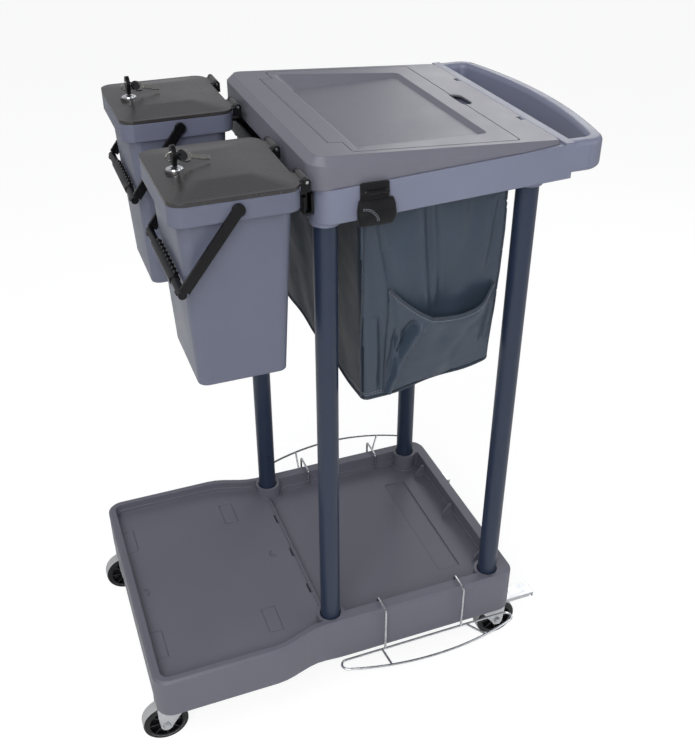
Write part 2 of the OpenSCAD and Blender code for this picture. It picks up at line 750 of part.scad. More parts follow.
// Swing handle drawn hanging straight down from its pivot, then turned to its rest.
module bail() {
    arm_y = collar_hy + 0.5;
    translate([0, 0, pivot_z]) rotate([0, bail_rest, 0]) difference() {
        union() {
            for (s = [-1, 1]) {
                translate([0, s > 0 ? arm_y : -arm_y - 4.5, 0]) rotate([-90, 0, 0]) cylinder(h = 4.5, r = 8, $fn = 28);
                translate([-6.5, s > 0 ? arm_y : -arm_y - 4.5, -bail_len + 5]) cube([13, 4.5, bail_len - 5]);
                translate([-5, s * (arm_y - 6) - 5, -bail_len - 5]) cube([10, 10, 8]);
            }
            translate([0, -arm_y - 4.5, -bail_len]) rotate([-90, 0, 0]) cylinder(h = 2 * arm_y + 9, r = 5.5, $fn = 24);
            translate([0, -56, -bail_len]) rotate([-90, 0, 0]) cylinder(h = 112, r = 6.8, $fn = 24);
            for (i = [0:8])
                translate([-4, -48.8 + i * 12.2, -bail_len + 5]) rotate([0, 90, 0]) cylinder(h = 5.6, r = 4, $fn = 10);
        }
        translate([0, -arm_y - 3.1, 0]) rotate([-90, 0, 0]) cylinder(h = 2 * arm_y + 6.2, r = 4.06, $fn = 24);
    }
}

module bail_front() { color(black) bucket_at(-1) bail(); }
module bail_back() { color(black) bucket_at(1) bail(); }

module lock_barrel() {
    translate([lock_x, 0, 0]) difference() {
        union() {
            translate([0, 0, plateau_top - 1.4]) cylinder(h = 1.2, r = 10.5, $fn = 40);
            translate([0, 0, plateau_top - 0.3]) cylinder(h = 1.1, r = 8.5, $fn = 40);
            translate([0, 0, plateau_top - 23]) cylinder(h = 23, r = 7.9, $fn = 32);
        }
        translate([0, 0, plateau_top - 13]) cylinder(h = 30, r = 4.1, $fn = 24);
    }
}

module lock_front() { color(zinc) bucket_at(-1) lock_barrel(); }
module lock_back() { color(zinc) bucket_at(1) lock_barrel(); }

// Key standing in the lock: round plug, blade and an oval moulded head with a ring hole.
module key() {
    translate([lock_x, 0, 0]) {
        translate([0, 0, plateau_top - 12]) cylinder(h = 13, r = 4, $fn = 24);
        difference() {
            union() {
                translate([-1, -3.5, plateau_top - 11]) cube([2, 7, 20]);
                translate([-2.6, 0, plateau_top + 18]) rotate([0, 90, 0]) cylinder(h = 5.2, r = 10.5, $fn = 28);
                translate([-2.6, -6, plateau_top + 4]) cube([5.2, 12, 8]);
            }
            translate([-5, 0, plateau_top + 22]) rotate([0, 90, 0]) cylinder(h = 10, r = 3, $fn = 20);
        }
    }
}

module key_front() { color(black) bucket_at(-1) key(); }
module key_back() { color(black) bucket_at(1) key(); }

// Spare key leaning beside the lock, on a split ring through the first key's head.
module spare_key() {
    ring_r = 8.6;
    translate([lock_x, ring_r / 2, plateau_top + 20.5 - ring_r * cos(30)]) rotate([30, 0, 0]) {
        rotate([90, 0, 0]) rotate_extrude($fn = 28) translate([ring_r, 0]) circle(0.8, $fn = 10);
        translate([ring_r, 0, 0]) rotate([0, 15, 0]) difference() {
            union() {
                translate([5.5, 0, -1.5]) cylinder(h = 3, r = 9, $fn = 28);
                translate([12, -3, -0.8]) cube([26, 6, 1.6]);
                for (i = [0:3])
                    translate([19 + 4 * i, -3.8, -0.8]) cube([2, 1.2, 1.6]);
            }
            translate([0, 0, -5]) cylinder(h = 10, r = 2.1, $fn = 18);
        }
    }
}

module spare_key_front() { color(black) bucket_at(-1) spare_key(); }
module spare_key_back() { color(black) bucket_at(1) spare_key(); }

// ---- bag ----
bag_rings = 9;
bag_n = 36;

// Point k on a rounded rectangle with half sizes a and b and corner radius r.
function ring_point(k, n, a, b, r) =
    let (q = floor(k * 4 / n), t = (k * 4 / n - q) * 90, cx = (q == 0 || q == 3) ? a - r : r - a,
        cy = q < 2 ? b - r : r - b, w = 90 * q + t)
    [cx + r * cos(w), cy + r * sin(w)];

bag_x0 = 9;
bag_x1 = 208;
bag_top = 916;

// Half depth of the bag at t from 0 at its floor to 1 at its top.
function bag_half(t) = 184 + 2.7 * sin(180 * min(1, t * 1.15));
function bag_floor(x) = bag_low + bag_rise * max(0, x) / 210;

// Ring of the bag at t, drawn in by e.
function bag_ring(t, e) =
    let (left = bag_x0 + (mouth_x0 + clear - bag_x0) * t + e,
        right = bag_x1 + (mouth_x1 - clear - bag_x1) * smooth(t * 1.3) - e,
        cx = (left + right) / 2, a = (right - left) / 2, low = bag_low + e)
    [for (k = [0:bag_n - 1])
        let (p = ring_point(k, bag_n, a, bag_half(t) - e, 8),
            x = cx + p[0], floor_z = low + bag_floor(x) - bag_low)
        [x, p[1], floor_z + (bag_top - floor_z) * t]];

module bag_body() {
    steps = [for (i = [0:bag_rings]) i / bag_rings];
    inner = [for (i = [bag_rings:-1:0]) i / bag_rings];
    color(cloth_blue) loft(concat([for (t = steps) bag_ring(t, 0)], [for (t = inner) bag_ring(t, cloth)]));
}

// ---- pocket on the front of the bag ----
pocket_nu = 14;
pocket_nv = 8;
pocket_x0 = 40;
pocket_x1 = 203;

// Height of the sagging pocket mouth, u from 0 at the left to 1 at the right.
function mouth_line(u) = 768 - 26 * u - 50 * sin(180 * pow(u, 0.9)) * (1 - 0.15 * u);
function pocket_low(x) = bag_floor(x) + 16;

// Distance of the pocket cloth in front of the bag face.
function pocket_out(u, v) = clear + 0.5 * v + 27 * pow(sin(180 * u), 0.8) * pow(v, 0.8);

module bag_pocket() {
    front = [for (j = [0:pocket_nv]) for (i = [0:pocket_nu])
        let (u = i / pocket_nu, v = j / pocket_nv, x = pocket_x0 + (pocket_x1 - pocket_x0) * u, z0 = pocket_low(x),
            z = z0 + (mouth_line(u) - z0) * v, t = (z - bag_floor(x)) / (bag_top - bag_floor(x)))
        [x, -bag_half(t) - 1.6 - pocket_out(u, v), z]];
    back = [for (p = front) [p[0], p[1] + 1.6, p[2]]];
    n = pocket_nu + 1;
    off = n * (pocket_nv + 1);
    faces = concat(
        [for (j = [0:pocket_nv - 1]) for (i = [0:pocket_nu - 1])
            for (f = [[0, 1, n + 1], [0, n + 1, n]]) [for (q = [2:-1:0]) j * n + i + f[q]]],
        [for (j = [0:pocket_nv - 1]) for (i = [0:pocket_nu - 1])
            for (f = [[0, 1, n + 1], [0, n + 1, n]]) [for (q = f) off + j * n + i + q]],
        [for (i = [0:pocket_nu - 1]) [i, i + 1, off + i + 1, off + i]],
        [for (i = [0:pocket_nu - 1]) let (t = pocket_nv * n) [t + i, off + t + i, off + t + i + 1, t + i + 1]],
        [for (j = [0:pocket_nv - 1]) [j * n, off + j * n, off + (j + 1) * n, (j + 1) * n]],
        [for (j = [0:pocket_nv - 1]) let (r = j * n + n - 1) [r, r + n, off + r + n, off + r]]
    );
    color(cloth_blue) polyhedron(concat(front, back), faces, convexity = 6);
}

// Hook-and-loop band round the frame edge.
module strap(s) {
    mid = 12;
    low = frame_bottom(mid);
    translate([mid, 0, 0]) mirror([0, s > 0 ? 1 : 0, 0]) {
        translate([-27, -frame_half - 3.4, low - 4]) cube([54, 3, 52]);
        translate([-27, -frame_half + wall + 0.4, low - 4]) cube([54, 2.4, 34]);
        translate([-27, -frame_half + 0.3 + wall / 2, low - 4]) rotate([0, 90, 0]) difference() {
            cylinder(h = 54, r = 5.4, $fn = 32);
            translate([0, 0, -1]) cylinder(h = 60, r = 3, $fn = 32);
            translate([-20, -10, -1]) cube([20, 20, 60]);
        }
        translate([-25, -frame_half - 6, low + 6]) cube([30, 2.7, 34]);
    }
}

module strap_front() { color(black) strap(-1); }
module strap_back() { color(black) strap(1); }

// ---- wire hoops ----
hoop_mid = 118;
hoop_half = 150;
hoop_end_r = 10;
hoop_big_r = (hoop_half * hoop_half + pow(hoop_depth - hoop_end_r, 2) - hoop_end_r * hoop_end_r)
    / (2 * (hoop_depth - 2 * hoop_end_r));
hoop_a = asin(hoop_half / (hoop_big_r - hoop_end_r));

// Loop lying flat with its straight wire on y = 0 and its bow to -y.
module hoop_loop() {
    x0 = hoop_mid - hoop_half;
    x1 = hoop_mid + hoop_half;
    wire(concat(
        arc(x0, -hoop_end_r, hoop_end_r, 270 - hoop_a, 90, 7),
        arc(x1, -hoop_end_r, hoop_end_r, 90, hoop_a - 90, 7),
        arc(hoop_mid, hoop_big_r - hoop_depth, hoop_big_r, 270 + hoop_a * 0.94, 270 - hoop_a * 0.94, 22)
    ), true, 10);
    wire([[34.5, 0.2], [37.6, 6 - hoop_depth]], false, 8);
    wire([[194, 0.2], [216, 10 - hoop_depth]], false, 8);
}

// Hook of wire over the rim, from inside the deck down to the loop.
module hoop_hook(x, out, low) {
    inside = base_half_narrow - rim_w_right - 2 - 0.5 - wire_r;
    top = rim_top + 5;
    translate([x, 0, 0]) rotate([90, 0, 90]) wire(concat(
        [[-inside, deck_right + 4]],
        arc(-inside - 5, top - 5, 5, 0, 90, 5),
        arc(5 - out, top - 5, 5, 90, 180, 5),
        [[-out, low - 0.7]]
    ), false, 9);
}

module hoop_front() {
    out = hoop_reach - wire_r - hoop_depth;
    color(zinc) {
        translate([0, -out, hoop_z]) hoop_loop();
        hoop_hook(40, out, hoop_z);
        hoop_hook(184, out, hoop_z);
    }
}

module hoop_back() {
    out = hoop_reach - wire_r - hoop_depth * cos(hoop_tilt);
    low = rim_top - 24;
    color(zinc) mirror([0, 1, 0]) {
        translate([0, -out, low]) rotate([-hoop_tilt, 0, 0]) hoop_loop();
        hoop_hook(40, out, low);
        hoop_hook(184, out, low);
    }
}

// ---- castors, drawn with the swivel axis on z and the wheel trailing to +x ----
axle_z = wheel_r;
leg_gap = wheel_w / 2 + 2.5;
leg_t = 2.5;
crown_z = 78.5;

module castor_at(left, s) {
    if (left)
        translate([castor_left, s * castor_y_left, 0]) rotate([0, 0, 180]) children();
    else
        translate([castor_right, s * castor_y_right, 0]) children();
}

module castor_plate() {
    difference() {
        union() {
            translate([-27, -27, castor_seat - 2.5]) cube([54, 54, 2.5]);
            rotate_extrude() polygon([[0, 88], [20, 88], [23, 91], [23, castor_seat - 2], [0, castor_seat - 2]]);
            translate([0, 0, crown_z - 2]) cylinder(h = 20, r = 4.5, $fn = 28);
        }
        for (x = [-21, 21])
            for (y = [-21, 21])
                translate([x, y, 90]) cylinder(h = 20, r = 2.6, $fn = 20);
    }
}

module castor_fork() {
    difference() {
        union() {
            rotate_extrude() polygon([[0, crown_z], [22, crown_z], [22, 84], [19, 87.7], [0, 87.7]]);
            translate([-12, -leg_gap - leg_t, crown_z]) cube([44, 2 * (leg_gap + leg_t), 2.5]);
            for (s = [-1, 1])
                translate([0, s > 0 ? leg_gap + leg_t : -leg_gap, 0]) rotate([90, 0, 0]) linear_extrude(leg_t) {
                    polygon([[-12, crown_z + 2.5], [trail - 9.5, axle_z - 3], [trail + 10, axle_z],
                        [trail + 12, 62], [trail + 12, crown_z + 2.5]]);
                    translate([trail, axle_z]) circle(10, $fn = 32);
                }
        }
        translate([0, 0, 60]) cylinder(h = 40, r = 4.6, $fn = 28);
        translate([trail, -30, axle_z]) rotate([-90, 0, 0]) cylinder(h = 60, r = 4.05, $fn = 24);
        translate([trail + 7, -30, crown_z - 0.5]) rotate([-90, 0, 0]) cylinder(h = 60, r = 1.85, $fn = 20);
        translate([trail + 2, -leg_gap, crown_z - 5]) cube([20, 2 * leg_gap, 10]);
    }
}

module castor_axle(pedal) {
    translate([trail, -leg_gap - leg_t - 3.5, axle_z]) rotate([-90, 0, 0])
        cylinder(h = 2 * (leg_gap + leg_t) + 7, r = 4, $fn = 24);
    for (s = [-1, 1])
        translate([trail, s > 0 ? leg_gap + leg_t + 0.05 : -leg_gap - leg_t - 3.55, axle_z]) rotate([-90, 0, 0])
            cylinder(h = 3.5, r = 6.5, $fn = 6);
    if (pedal)
        translate([trail + 7, -leg_gap - leg_t - 1, crown_z - 0.5]) rotate([-90, 0, 0])
            cylinder(h = 2 * (leg_gap + leg_t) + 2, r = 1.8, $fn = 20);
}

module wheel_tread() {
    h = wheel_w / 2;
    translate([trail, 0, axle_z]) rotate([90, 0, 0]) rotate_extrude($fn = 48)
        polygon([[wheel_r - 6.5, -h + 1], [wheel_r - 2.5, -h + 1], [wheel_r - 0.6, -h + 3], [wheel_r, -h + 5.5],
            [wheel_r, h - 5.5], [wheel_r - 0.6, h - 3], [wheel_r - 2.5, h - 1], [wheel_r - 6.5, h - 1]]);
}

module wheel_centre() {
    h = wheel_w / 2;
    r = wheel_r - 6.5;
    translate([trail, 0, axle_z]) rotate([90, 0, 0]) {
        rotate_extrude($fn = 48)
            polygon([[4.05, -h], [9, -h], [9.5, -4], [r - 4, -4], [r - 3.5, 1.5 - h], [r, 1.5 - h],
                [r, h - 1.5], [r - 3.5, h - 1.5], [r - 4, 4], [9.5, 4], [9, h], [4.05, h]]);
        for (a = [0:45:315])
            rotate([0, 0, a]) translate([8.5, -1.1, 2.5 - h]) cube([r - 11.5, 2.2, wheel_w - 5]);
    }
}

module brake_pedal() {
    px = trail + 7;
    pz = crown_z - 0.5;
    w = leg_gap - 0.8;
    difference() {
        union() {
            translate([px, -w, pz]) rotate([-90, 0, 0]) cylinder(h = 2 * w, r = 3.1, $fn = 20);
            translate([px, -w, pz]) cube([12, 2 * w, 3]);
            translate([px + 8, -14, pz]) cube([57, 28, 3]);
            translate([px + 62.5, -14, pz - 7]) cube([2.5, 28, 8]);
            for (s = [-1, 1])
                translate([px + 10, s > 0 ? 12 : -14, pz - 5]) cube([48, 2, 7]);
        }
        translate([px, -30, pz]) rotate([-90, 0, 0]) cylinder(h = 60, r = 1.85, $fn = 20);
    }
}

module castor_screws() {
    castor_screw_places() translate([0, 0, castor_seat - 2.6]) {
        cylinder(h = 14, r = 2.5, $fn = 20);
        translate([0, 0, -3.2]) cylinder(h = 3.3, r = 4.6, $fn = 6);
    }
}

module castor_plate_front_left() { color(zinc) castor_at(true, -1) castor_plate(); }
module castor_plate_back_left() { color(zinc) castor_at(true, 1) castor_plate(); }
module castor_plate_front_right() { color(zinc) castor_at(false, -1) castor_plate(); }
module castor_plate_back_right() { color(zinc) castor_at(false, 1) castor_plate(); }
module fork_front_left() { color(zinc) castor_at(true, -1) castor_fork(); }
module fork_back_left() { color(zinc) castor_at(true, 1) castor_fork(); }
module fork_front_right() { color(zinc) castor_at(false, -1) castor_fork(); }
module fork_back_right() { color(zinc) castor_at(false, 1) castor_fork(); }
module axle_front_left() { color(zinc) castor_at(true, -1) castor_axle(false); }
module axle_back_left() { color(zinc) castor_at(true, 1) castor_axle(false); }
module axle_front_right() { color(zinc) castor_at(false, -1) castor_axle(true); }
module axle_back_right() { color(zinc) castor_at(false, 1) castor_axle(true); }
module tread_front_left() { color(plastic_top) castor_at(true, -1) wheel_tread(); }
module tread_back_left() { color(plastic_top) castor_at(true, 1) wheel_tread(); }
module tread_front_right() { color(plastic_top) castor_at(false, -1) wheel_tread(); }
module tread_back_right() { color(plastic_top) castor_at(false, 1) wheel_tread(); }
module wheel_front_left() { color(black) castor_at(true, -1) wheel_centre(); }
module wheel_back_left() { color(black) castor_at(true, 1) wheel_centre(); }
module wheel_front_right() { color(black) castor_at(false, -1) wheel_centre(); }
module wheel_back_right() { color(black) castor_at(false, 1) wheel_centre(); }
module pedal_front() { color(zinc) castor_at(false, -1) brake_pedal(); }
module pedal_back() { color(zinc) castor_at(false, 1) brake_pedal(); }
module castor_screw_set() { color(zinc) castor_screws(); }

base_tray();
post_front_left();
post_back_left();
post_front_right();
post_back_right();
upper_frame();
lid();
lid_hinge_pin();
lid_flap();
flap_hinge_pins();
bucket_rail();
rail_screws();
bucket_front();
bucket_back();
bucket_lid_front();
bucket_lid_back();
bucket_pins_front();
bucket_pins_back();
bail_front();
bail_back();
lock_front();
lock_back();
key_front();
key_back();
spare_key_front();
spare_key_back();
bag_body();
bag_pocket();
strap_front();
strap_back();
hoop_front();
hoop_back();
castor_plate_front_left();
castor_plate_back_left();
castor_plate_front_right();
castor_plate_back_right();
fork_front_left();
fork_back_left();
fork_front_right();
fork_back_right();
axle_front_left();
axle_back_left();
axle_front_right();
axle_back_right();
tread_front_left();
tread_back_left();
tread_front_right();
tread_back_right();
wheel_front_left();
wheel_back_left();
wheel_front_right();
wheel_back_right();
pedal_front();
pedal_back();
castor_screw_set();
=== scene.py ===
import math

import bpy
import numpy as np
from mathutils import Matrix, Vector, noise


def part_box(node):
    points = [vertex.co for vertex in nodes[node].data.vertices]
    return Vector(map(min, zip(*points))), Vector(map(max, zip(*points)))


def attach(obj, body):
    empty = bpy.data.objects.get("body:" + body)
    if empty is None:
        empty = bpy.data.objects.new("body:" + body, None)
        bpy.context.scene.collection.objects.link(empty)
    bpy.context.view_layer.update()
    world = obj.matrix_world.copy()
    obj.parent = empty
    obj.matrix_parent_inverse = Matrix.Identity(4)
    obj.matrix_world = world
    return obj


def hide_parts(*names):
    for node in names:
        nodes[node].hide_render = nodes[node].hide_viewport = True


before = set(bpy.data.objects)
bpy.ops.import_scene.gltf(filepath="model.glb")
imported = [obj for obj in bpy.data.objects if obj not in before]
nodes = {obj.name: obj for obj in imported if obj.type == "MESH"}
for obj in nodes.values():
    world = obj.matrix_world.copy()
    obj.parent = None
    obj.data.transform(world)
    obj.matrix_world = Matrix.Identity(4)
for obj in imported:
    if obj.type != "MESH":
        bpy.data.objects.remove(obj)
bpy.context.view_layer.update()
print("frame loaded,", len(nodes), "pieces")


def srgb(hexCode):
    parts = [int(hexCode[i:i + 2], 16) / 255 for i in (1, 3, 5)]
    return tuple(p / 12.92 if p <= 0.04045 else ((p + 0.055) / 1.055) ** 2.4 for p in parts) + (1.0,)


def addNode(tree, kind, place=(0, 0), settings=None, values=None, links=None):
    node = tree.nodes.new(kind)
    node.location = place
    for key, value in (settings or {}).items():
        setattr(node, key, value)
    for key, value in (values or {}).items():
        node.inputs[key].default_value = value
    for key, socket in (links or {}).items():
        tree.links.new(socket, node.inputs[key])
    return node


def ramp(tree, factor, stops, place=(0, 0)):
    node = addNode(tree, "ShaderNodeValToRGB", place, links={"Fac": factor})
    band = node.color_ramp
    while len(band.elements) < len(stops):
        band.elements.new(0.5)
    for element, (at, colour) in zip(band.elements, stops):
        element.position = at
        element.color = colour
    return node.outputs["Color"]


def startMaterial(name):
    material = bpy.data.materials.new(name)
    material.use_nodes = True
    tree = material.node_tree
    tree.nodes.clear()
    out = addNode(tree, "ShaderNodeOutputMaterial", (900, 0))
    coords = addNode(tree, "ShaderNodeTexCoord", (-1200, 0)).outputs["Object"]
    return material, tree, out, coords


def shade(hexCode, gain):
    colour = srgb(hexCode)
    return tuple(min(1, c * gain) for c in colour[:3]) + (1.0,)


def mouldedPlastic(name, look):
    material, tree, out, coords = startMaterial(name)
    broad = addNode(
        tree, "ShaderNodeTexNoise", (-900, 300),
        values={"Scale": look["cloudScale"], "Detail": 4.0, "Roughness": 0.6}, links={"Vector": coords},
    )
    grain = addNode(
        tree, "ShaderNodeTexNoise", (-900, 0), values={"Scale": look["grainScale"], "Detail": 2.0, "Roughness": 0.5},
        links={"Vector": coords},
    )
    pits = addNode(
        tree, "ShaderNodeTexVoronoi", (-900, -300), values={"Scale": look["grainScale"] * 0.45},
        links={"Vector": coords},
    )
    low = shade(look["colour"], 1 - look["cloud"])
    high = shade(look["colour"], 1 + look["cloud"])
    colour = ramp(tree, broad.outputs["Fac"], [(0.3, low), (0.7, high)], (-600, 300))
    roughness = addNode(
        tree, "ShaderNodeMapRange", (-600, 0),
        values={"From Min": 0.3, "From Max": 0.7, "To Min": look["rough"] - 0.06, "To Max": look["rough"] + 0.06},
        links={"Value": broad.outputs["Fac"]},
    )
    mixed = addNode(
        tree, "ShaderNodeMath", (-600, -200), {"operation": "ADD"},
        links={0: grain.outputs["Fac"], 1: pits.outputs["Distance"]},
    )
    soft = addNode(tree, "ShaderNodeBevel", (-600, -420), {"samples": 6}, {"Radius": look["edge"]})
    bump = addNode(
        tree, "ShaderNodeBump", (-300, -250), values={"Strength": look["bump"], "Distance": 0.0004},
        links={"Height": mixed.outputs[0], "Normal": soft.outputs["Normal"]},
    )
    shader = addNode(
        tree, "ShaderNodeBsdfPrincipled", (500, 0),
        values={"Specular IOR Level": look["specular"], "Coat Weight": look.get("coat", 0.0), "Coat Roughness": 0.18},
        links={"Base Color": colour, "Roughness": roughness.outputs[0], "Normal": bump.outputs[0]},
    )
    tree.links.new(shader.outputs[0], out.inputs["Surface"])
    return material


def metal(name, look):
    material, tree, out, coords = startMaterial(name)
    stretch = addNode(
        tree, "ShaderNodeMapping", (-1000, 0), values={"Scale": look["stretch"]}, links={"Vector": coords},
    )
    streak = addNode(
        tree, "ShaderNodeTexNoise", (-800, 0), values={"Scale": look["scale"], "Detail": 5.0},
        links={"Vector": stretch.outputs[0]},
    )
    cloud = addNode(
        tree, "ShaderNodeTexNoise", (-800, 300), values={"Scale": 45.0, "Detail": 3.0}, links={"Vector": coords},
    )
    colour = ramp(
        tree, cloud.outputs["Fac"], [(0.35, shade(look["colour"], 0.86)), (0.65, srgb(look["colour"]))], (-500, 300),
    )
    roughness = addNode(
        tree, "ShaderNodeMapRange", (-500, 0),
        values={"From Min": 0.3, "From Max": 0.7, "To Min": look["rough"] * 0.75, "To Max": look["rough"] * 1.3},
        links={"Value": streak.outputs["Fac"]},
    )
    soft = addNode(tree, "ShaderNodeBevel", (-500, -300), {"samples": 6}, {"Radius": look["edge"]})
    bump = addNode(
        tree, "ShaderNodeBump", (-250, -200), values={"Strength": look["bump"], "Distance": 0.0002},
        links={"Height": streak.outputs["Fac"], "Normal": soft.outputs["Normal"]},
    )
    shader = addNode(
        tree, "ShaderNodeBsdfPrincipled", (500, 0), values={"Metallic": 1.0},
        links={"Base Color": colour, "Roughness": roughness.outputs[0], "Normal": bump.outputs[0]},
    )
    tree.links.new(shader.outputs[0], out.inputs["Surface"])
    return material


# Polypropylene moulded in a spark-eroded tool: matt grain, softened edges, slight flow clouds.
basePlastic = mouldedPlastic(
    "polypropyleneSparkErodedBase",
    {
        "colour": "#646470", "rough": 0.44, "cloud": 0.04, "cloudScale": 5.0, "grainScale": 900.0, "bump": 0.16,
        "specular": 0.42, "edge": 0.0016,
    },
)
# The same plastic on the upper frame, a shade bluer, with a little more sheen from a finer tool.
framePlastic = mouldedPlastic(
    "polypropyleneFineGrainFrame",
    {
        "colour": "#73778b", "rough": 0.38, "cloud": 0.04, "cloudScale": 6.0, "grainScale": 1100.0, "bump": 0.12,
        "specular": 0.45, "edge": 0.002,
    },
)
# Lid and flap: lighter batch of the same plastic, coarser leather-like grain on top.
lidPlastic = mouldedPlastic(
    "polypropyleneLeatherGrainLid",
    {
        "colour": "#6a6a75", "rough": 0.36, "cloud": 0.03, "cloudScale": 6.0, "grainScale": 800.0, "bump": 0.18,
        "specular": 0.45, "edge": 0.0018,
    },
)
# Bucket bodies: smooth moulded polypropylene with a soft satin reflection.
bucketPlastic = mouldedPlastic(
    "polypropyleneSatinBucket",
    {
        "colour": "#5d6173", "rough": 0.34, "cloud": 0.04, "cloudScale": 9.0, "grainScale": 1300.0, "bump": 0.07,
        "specular": 0.48, "edge": 0.002,
    },
)
# Bucket lids: dark brown-grey plastic with an even etched grain.
bucketLidPlastic = mouldedPlastic(
    "polypropyleneEtchedDarkLid",
    {
        "colour": "#302e2f", "rough": 0.27, "cloud": 0.05, "cloudScale": 12.0, "grainScale": 1100.0, "bump": 0.14,
        "specular": 0.5, "edge": 0.0014,
    },
)
# Handles, rail and key heads: glossy black nylon straight from a polished tool.
blackNylon = mouldedPlastic(
    "nylonPolishedToolBlack",
    {
        "colour": "#0b0b0e", "rough": 0.3, "cloud": 0.1, "cloudScale": 30.0, "grainScale": 1500.0, "bump": 0.03,
        "specular": 0.24, "edge": 0.0014,
    },
)
# Wheel centres: black glass-filled nylon with a dull skin.
wheelPlastic = mouldedPlastic(
    "nylonGlassFilledWheel",
    {
        "colour": "#101013", "rough": 0.3, "cloud": 0.1, "cloudScale": 30.0, "grainScale": 1500.0, "bump": 0.08,
        "specular": 0.3, "edge": 0.0006,
    },
)
# Treads: grey thermoplastic rubber, ground smooth by its mould.
treadRubber = mouldedPlastic(
    "rubberMouldedGreyTread",
    {
        "colour": "#b4b4b6", "rough": 0.55, "cloud": 0.05, "cloudScale": 40.0, "grainScale": 1200.0, "bump": 0.1,
        "specular": 0.35, "edge": 0.0008,
    },
)
# Posts: drawn steel tube under dark blue powder paint with a glossy skin and faint orange peel.
postPaint = mouldedPlastic(
    "steelTubePowderCoatedBlue",
    {
        "colour": "#263044", "rough": 0.33, "cloud": 0.02, "cloudScale": 18.0, "grainScale": 260.0, "bump": 0.012,
        "specular": 0.35, "edge": 0.0006, "coat": 0.05,
    },
)
# Pressed and drawn steel, bright zinc plated, with faint forming streaks.
zincSteel = metal(
    "steelZincPlatedBright",
    {"colour": "#c9cbce", "rough": 0.24, "scale": 90.0, "stretch": (1.0, 1.0, 5.0), "bump": 0.08, "edge": 0.0005},
)
# Lock faces: turned brass, chrome plated.
lockChrome = metal(
    "brassTurnedChromePlated",
    {"colour": "#e2e3e6", "rough": 0.09, "scale": 160.0, "stretch": (1.0, 1.0, 1.0), "bump": 0.02, "edge": 0.0004},
)


def wovenCloth(name, look):
    material, tree, out, coords = startMaterial(name)
    uv = addNode(tree, "ShaderNodeUVMap", (-1200, -300), {"uv_map": "cloth"}).outputs[0]
    warp = addNode(
        tree, "ShaderNodeTexWave", (-900, 0), {"wave_type": "BANDS", "bands_direction": "X"},
        {"Scale": look["threads"], "Distortion": 0.6, "Detail": 1.0}, {"Vector": uv},
    )
    weft = addNode(
        tree, "ShaderNodeTexWave", (-900, -300), {"wave_type": "BANDS", "bands_direction": "Y"},
        {"Scale": look["threads"], "Distortion": 0.6, "Detail": 1.0}, {"Vector": uv},
    )
    weave = addNode(
        tree, "ShaderNodeMath", (-600, -150), {"operation": "MAXIMUM"},
        links={0: warp.outputs["Fac"], 1: weft.outputs["Fac"]},
    )
    crease = addNode(
        tree, "ShaderNodeTexNoise", (-900, 300),
        values={"Scale": 9.0, "Detail": 3.0, "Roughness": 0.5, "Distortion": 0.6}, links={"Vector": coords},
    )
    fine = addNode(
        tree, "ShaderNodeTexNoise", (-900, 550), values={"Scale": 70.0, "Detail": 4.0}, links={"Vector": coords},
    )
    # The colour follows the crease height: a little darker in the furrows and lighter on the ridges, as painted shade
    # and painted highlight.
    colour = ramp(
        tree, crease.outputs["Fac"],
        [(0.3, shade(look["colour"], 0.95)), (0.5, srgb(look["colour"])), (0.72, shade(look["colour"], 1.05))],
        (-600, 400),
    )
    bumpLarge = addNode(
        tree, "ShaderNodeBump", (-300, 100), values={"Strength": look["crease"], "Distance": 0.004},
        links={"Height": crease.outputs["Fac"]},
    )
    bumpMid = addNode(
        tree, "ShaderNodeBump", (-150, 0), values={"Strength": 0.25, "Distance": 0.0012},
        links={"Height": fine.outputs["Fac"], "Normal": bumpLarge.outputs[0]},
    )
    bumpWeave = addNode(
        tree, "ShaderNodeBump", (0, -150), values={"Strength": look["weave"], "Distance": 0.0003},
        links={"Height": weave.outputs[0], "Normal": bumpMid.outputs[0]},
    )
    shader = addNode(
        tree, "ShaderNodeBsdfPrincipled", (500, 0),
        values={
            "Roughness": look["rough"], "Specular IOR Level": look["specular"], "Sheen Weight": look["sheen"],
            "Sheen Roughness": 0.4,
        },
        links={"Base Color": colour, "Normal": bumpWeave.outputs[0]},
    )
    tree.links.new(shader.outputs[0], out.inputs["Surface"])
    return material


# Threads are drawn about four times as coarse as real ones, so that the weave shows at this distance.
# Bag and pocket: polyester cloth with a thin satin coating that takes soft creases.
bagCloth = wovenCloth(
    "polyesterCoatedSatinBag",
    {
        "colour": "#343f4d", "threads": 260.0, "rough": 0.36, "specular": 0.42, "sheen": 0.05, "crease": 0.5,
        "weave": 0.2,
    },
)
# Left end of the bag: the same polyester with painted shade, a darker colour and a weaker reflection standing in for
# the shadow that the buckets and posts cast on it.
leftEndShadeCloth = wovenCloth(
    "polyesterLeftEndPaintedShade",
    {
        "colour": "#1b232d", "threads": 260.0, "rough": 0.5, "specular": 0.22, "sheen": 0.05, "crease": 0.4,
        "weave": 0.3,
    },
)
# Bindings and hems: the same polyester folded and pressed into a narrow tape.
bindingTape = wovenCloth(
    "polyesterFoldedBindingTape",
    {
        "colour": "#2f3743", "threads": 420.0, "rough": 0.5, "specular": 0.4, "sheen": 0.15, "crease": 0.1,
        "weave": 0.35,
    },
)
# Straps: black nylon webbing with a hooked face.
strapWeb = wovenCloth(
    "nylonWovenStrapBlack",
    {
        "colour": "#0f0f12", "threads": 380.0, "rough": 0.5, "specular": 0.18, "sheen": 0.08, "crease": 0.08,
        "weave": 0.5,
    },
)
# Sewing thread: pale grey twisted polyester.
threadPale = mouldedPlastic(
    "polyesterTwistedThread",
    {
        "colour": "#8b8f99", "rough": 0.6, "cloud": 0.08, "cloudScale": 300.0, "grainScale": 3000.0, "bump": 0.1,
        "specular": 0.3, "edge": 0.0001,
    },
)
print("materials made")


# Spare keys: stamped steel blades and rings, nickel plated, with a black nylon head moulded on.
spareKey = {"nickel": "#b9b7b1", "nylon": "#161619", "headRadius": 0.0098, "headFrom": 0.026, "headTo": 0.044}


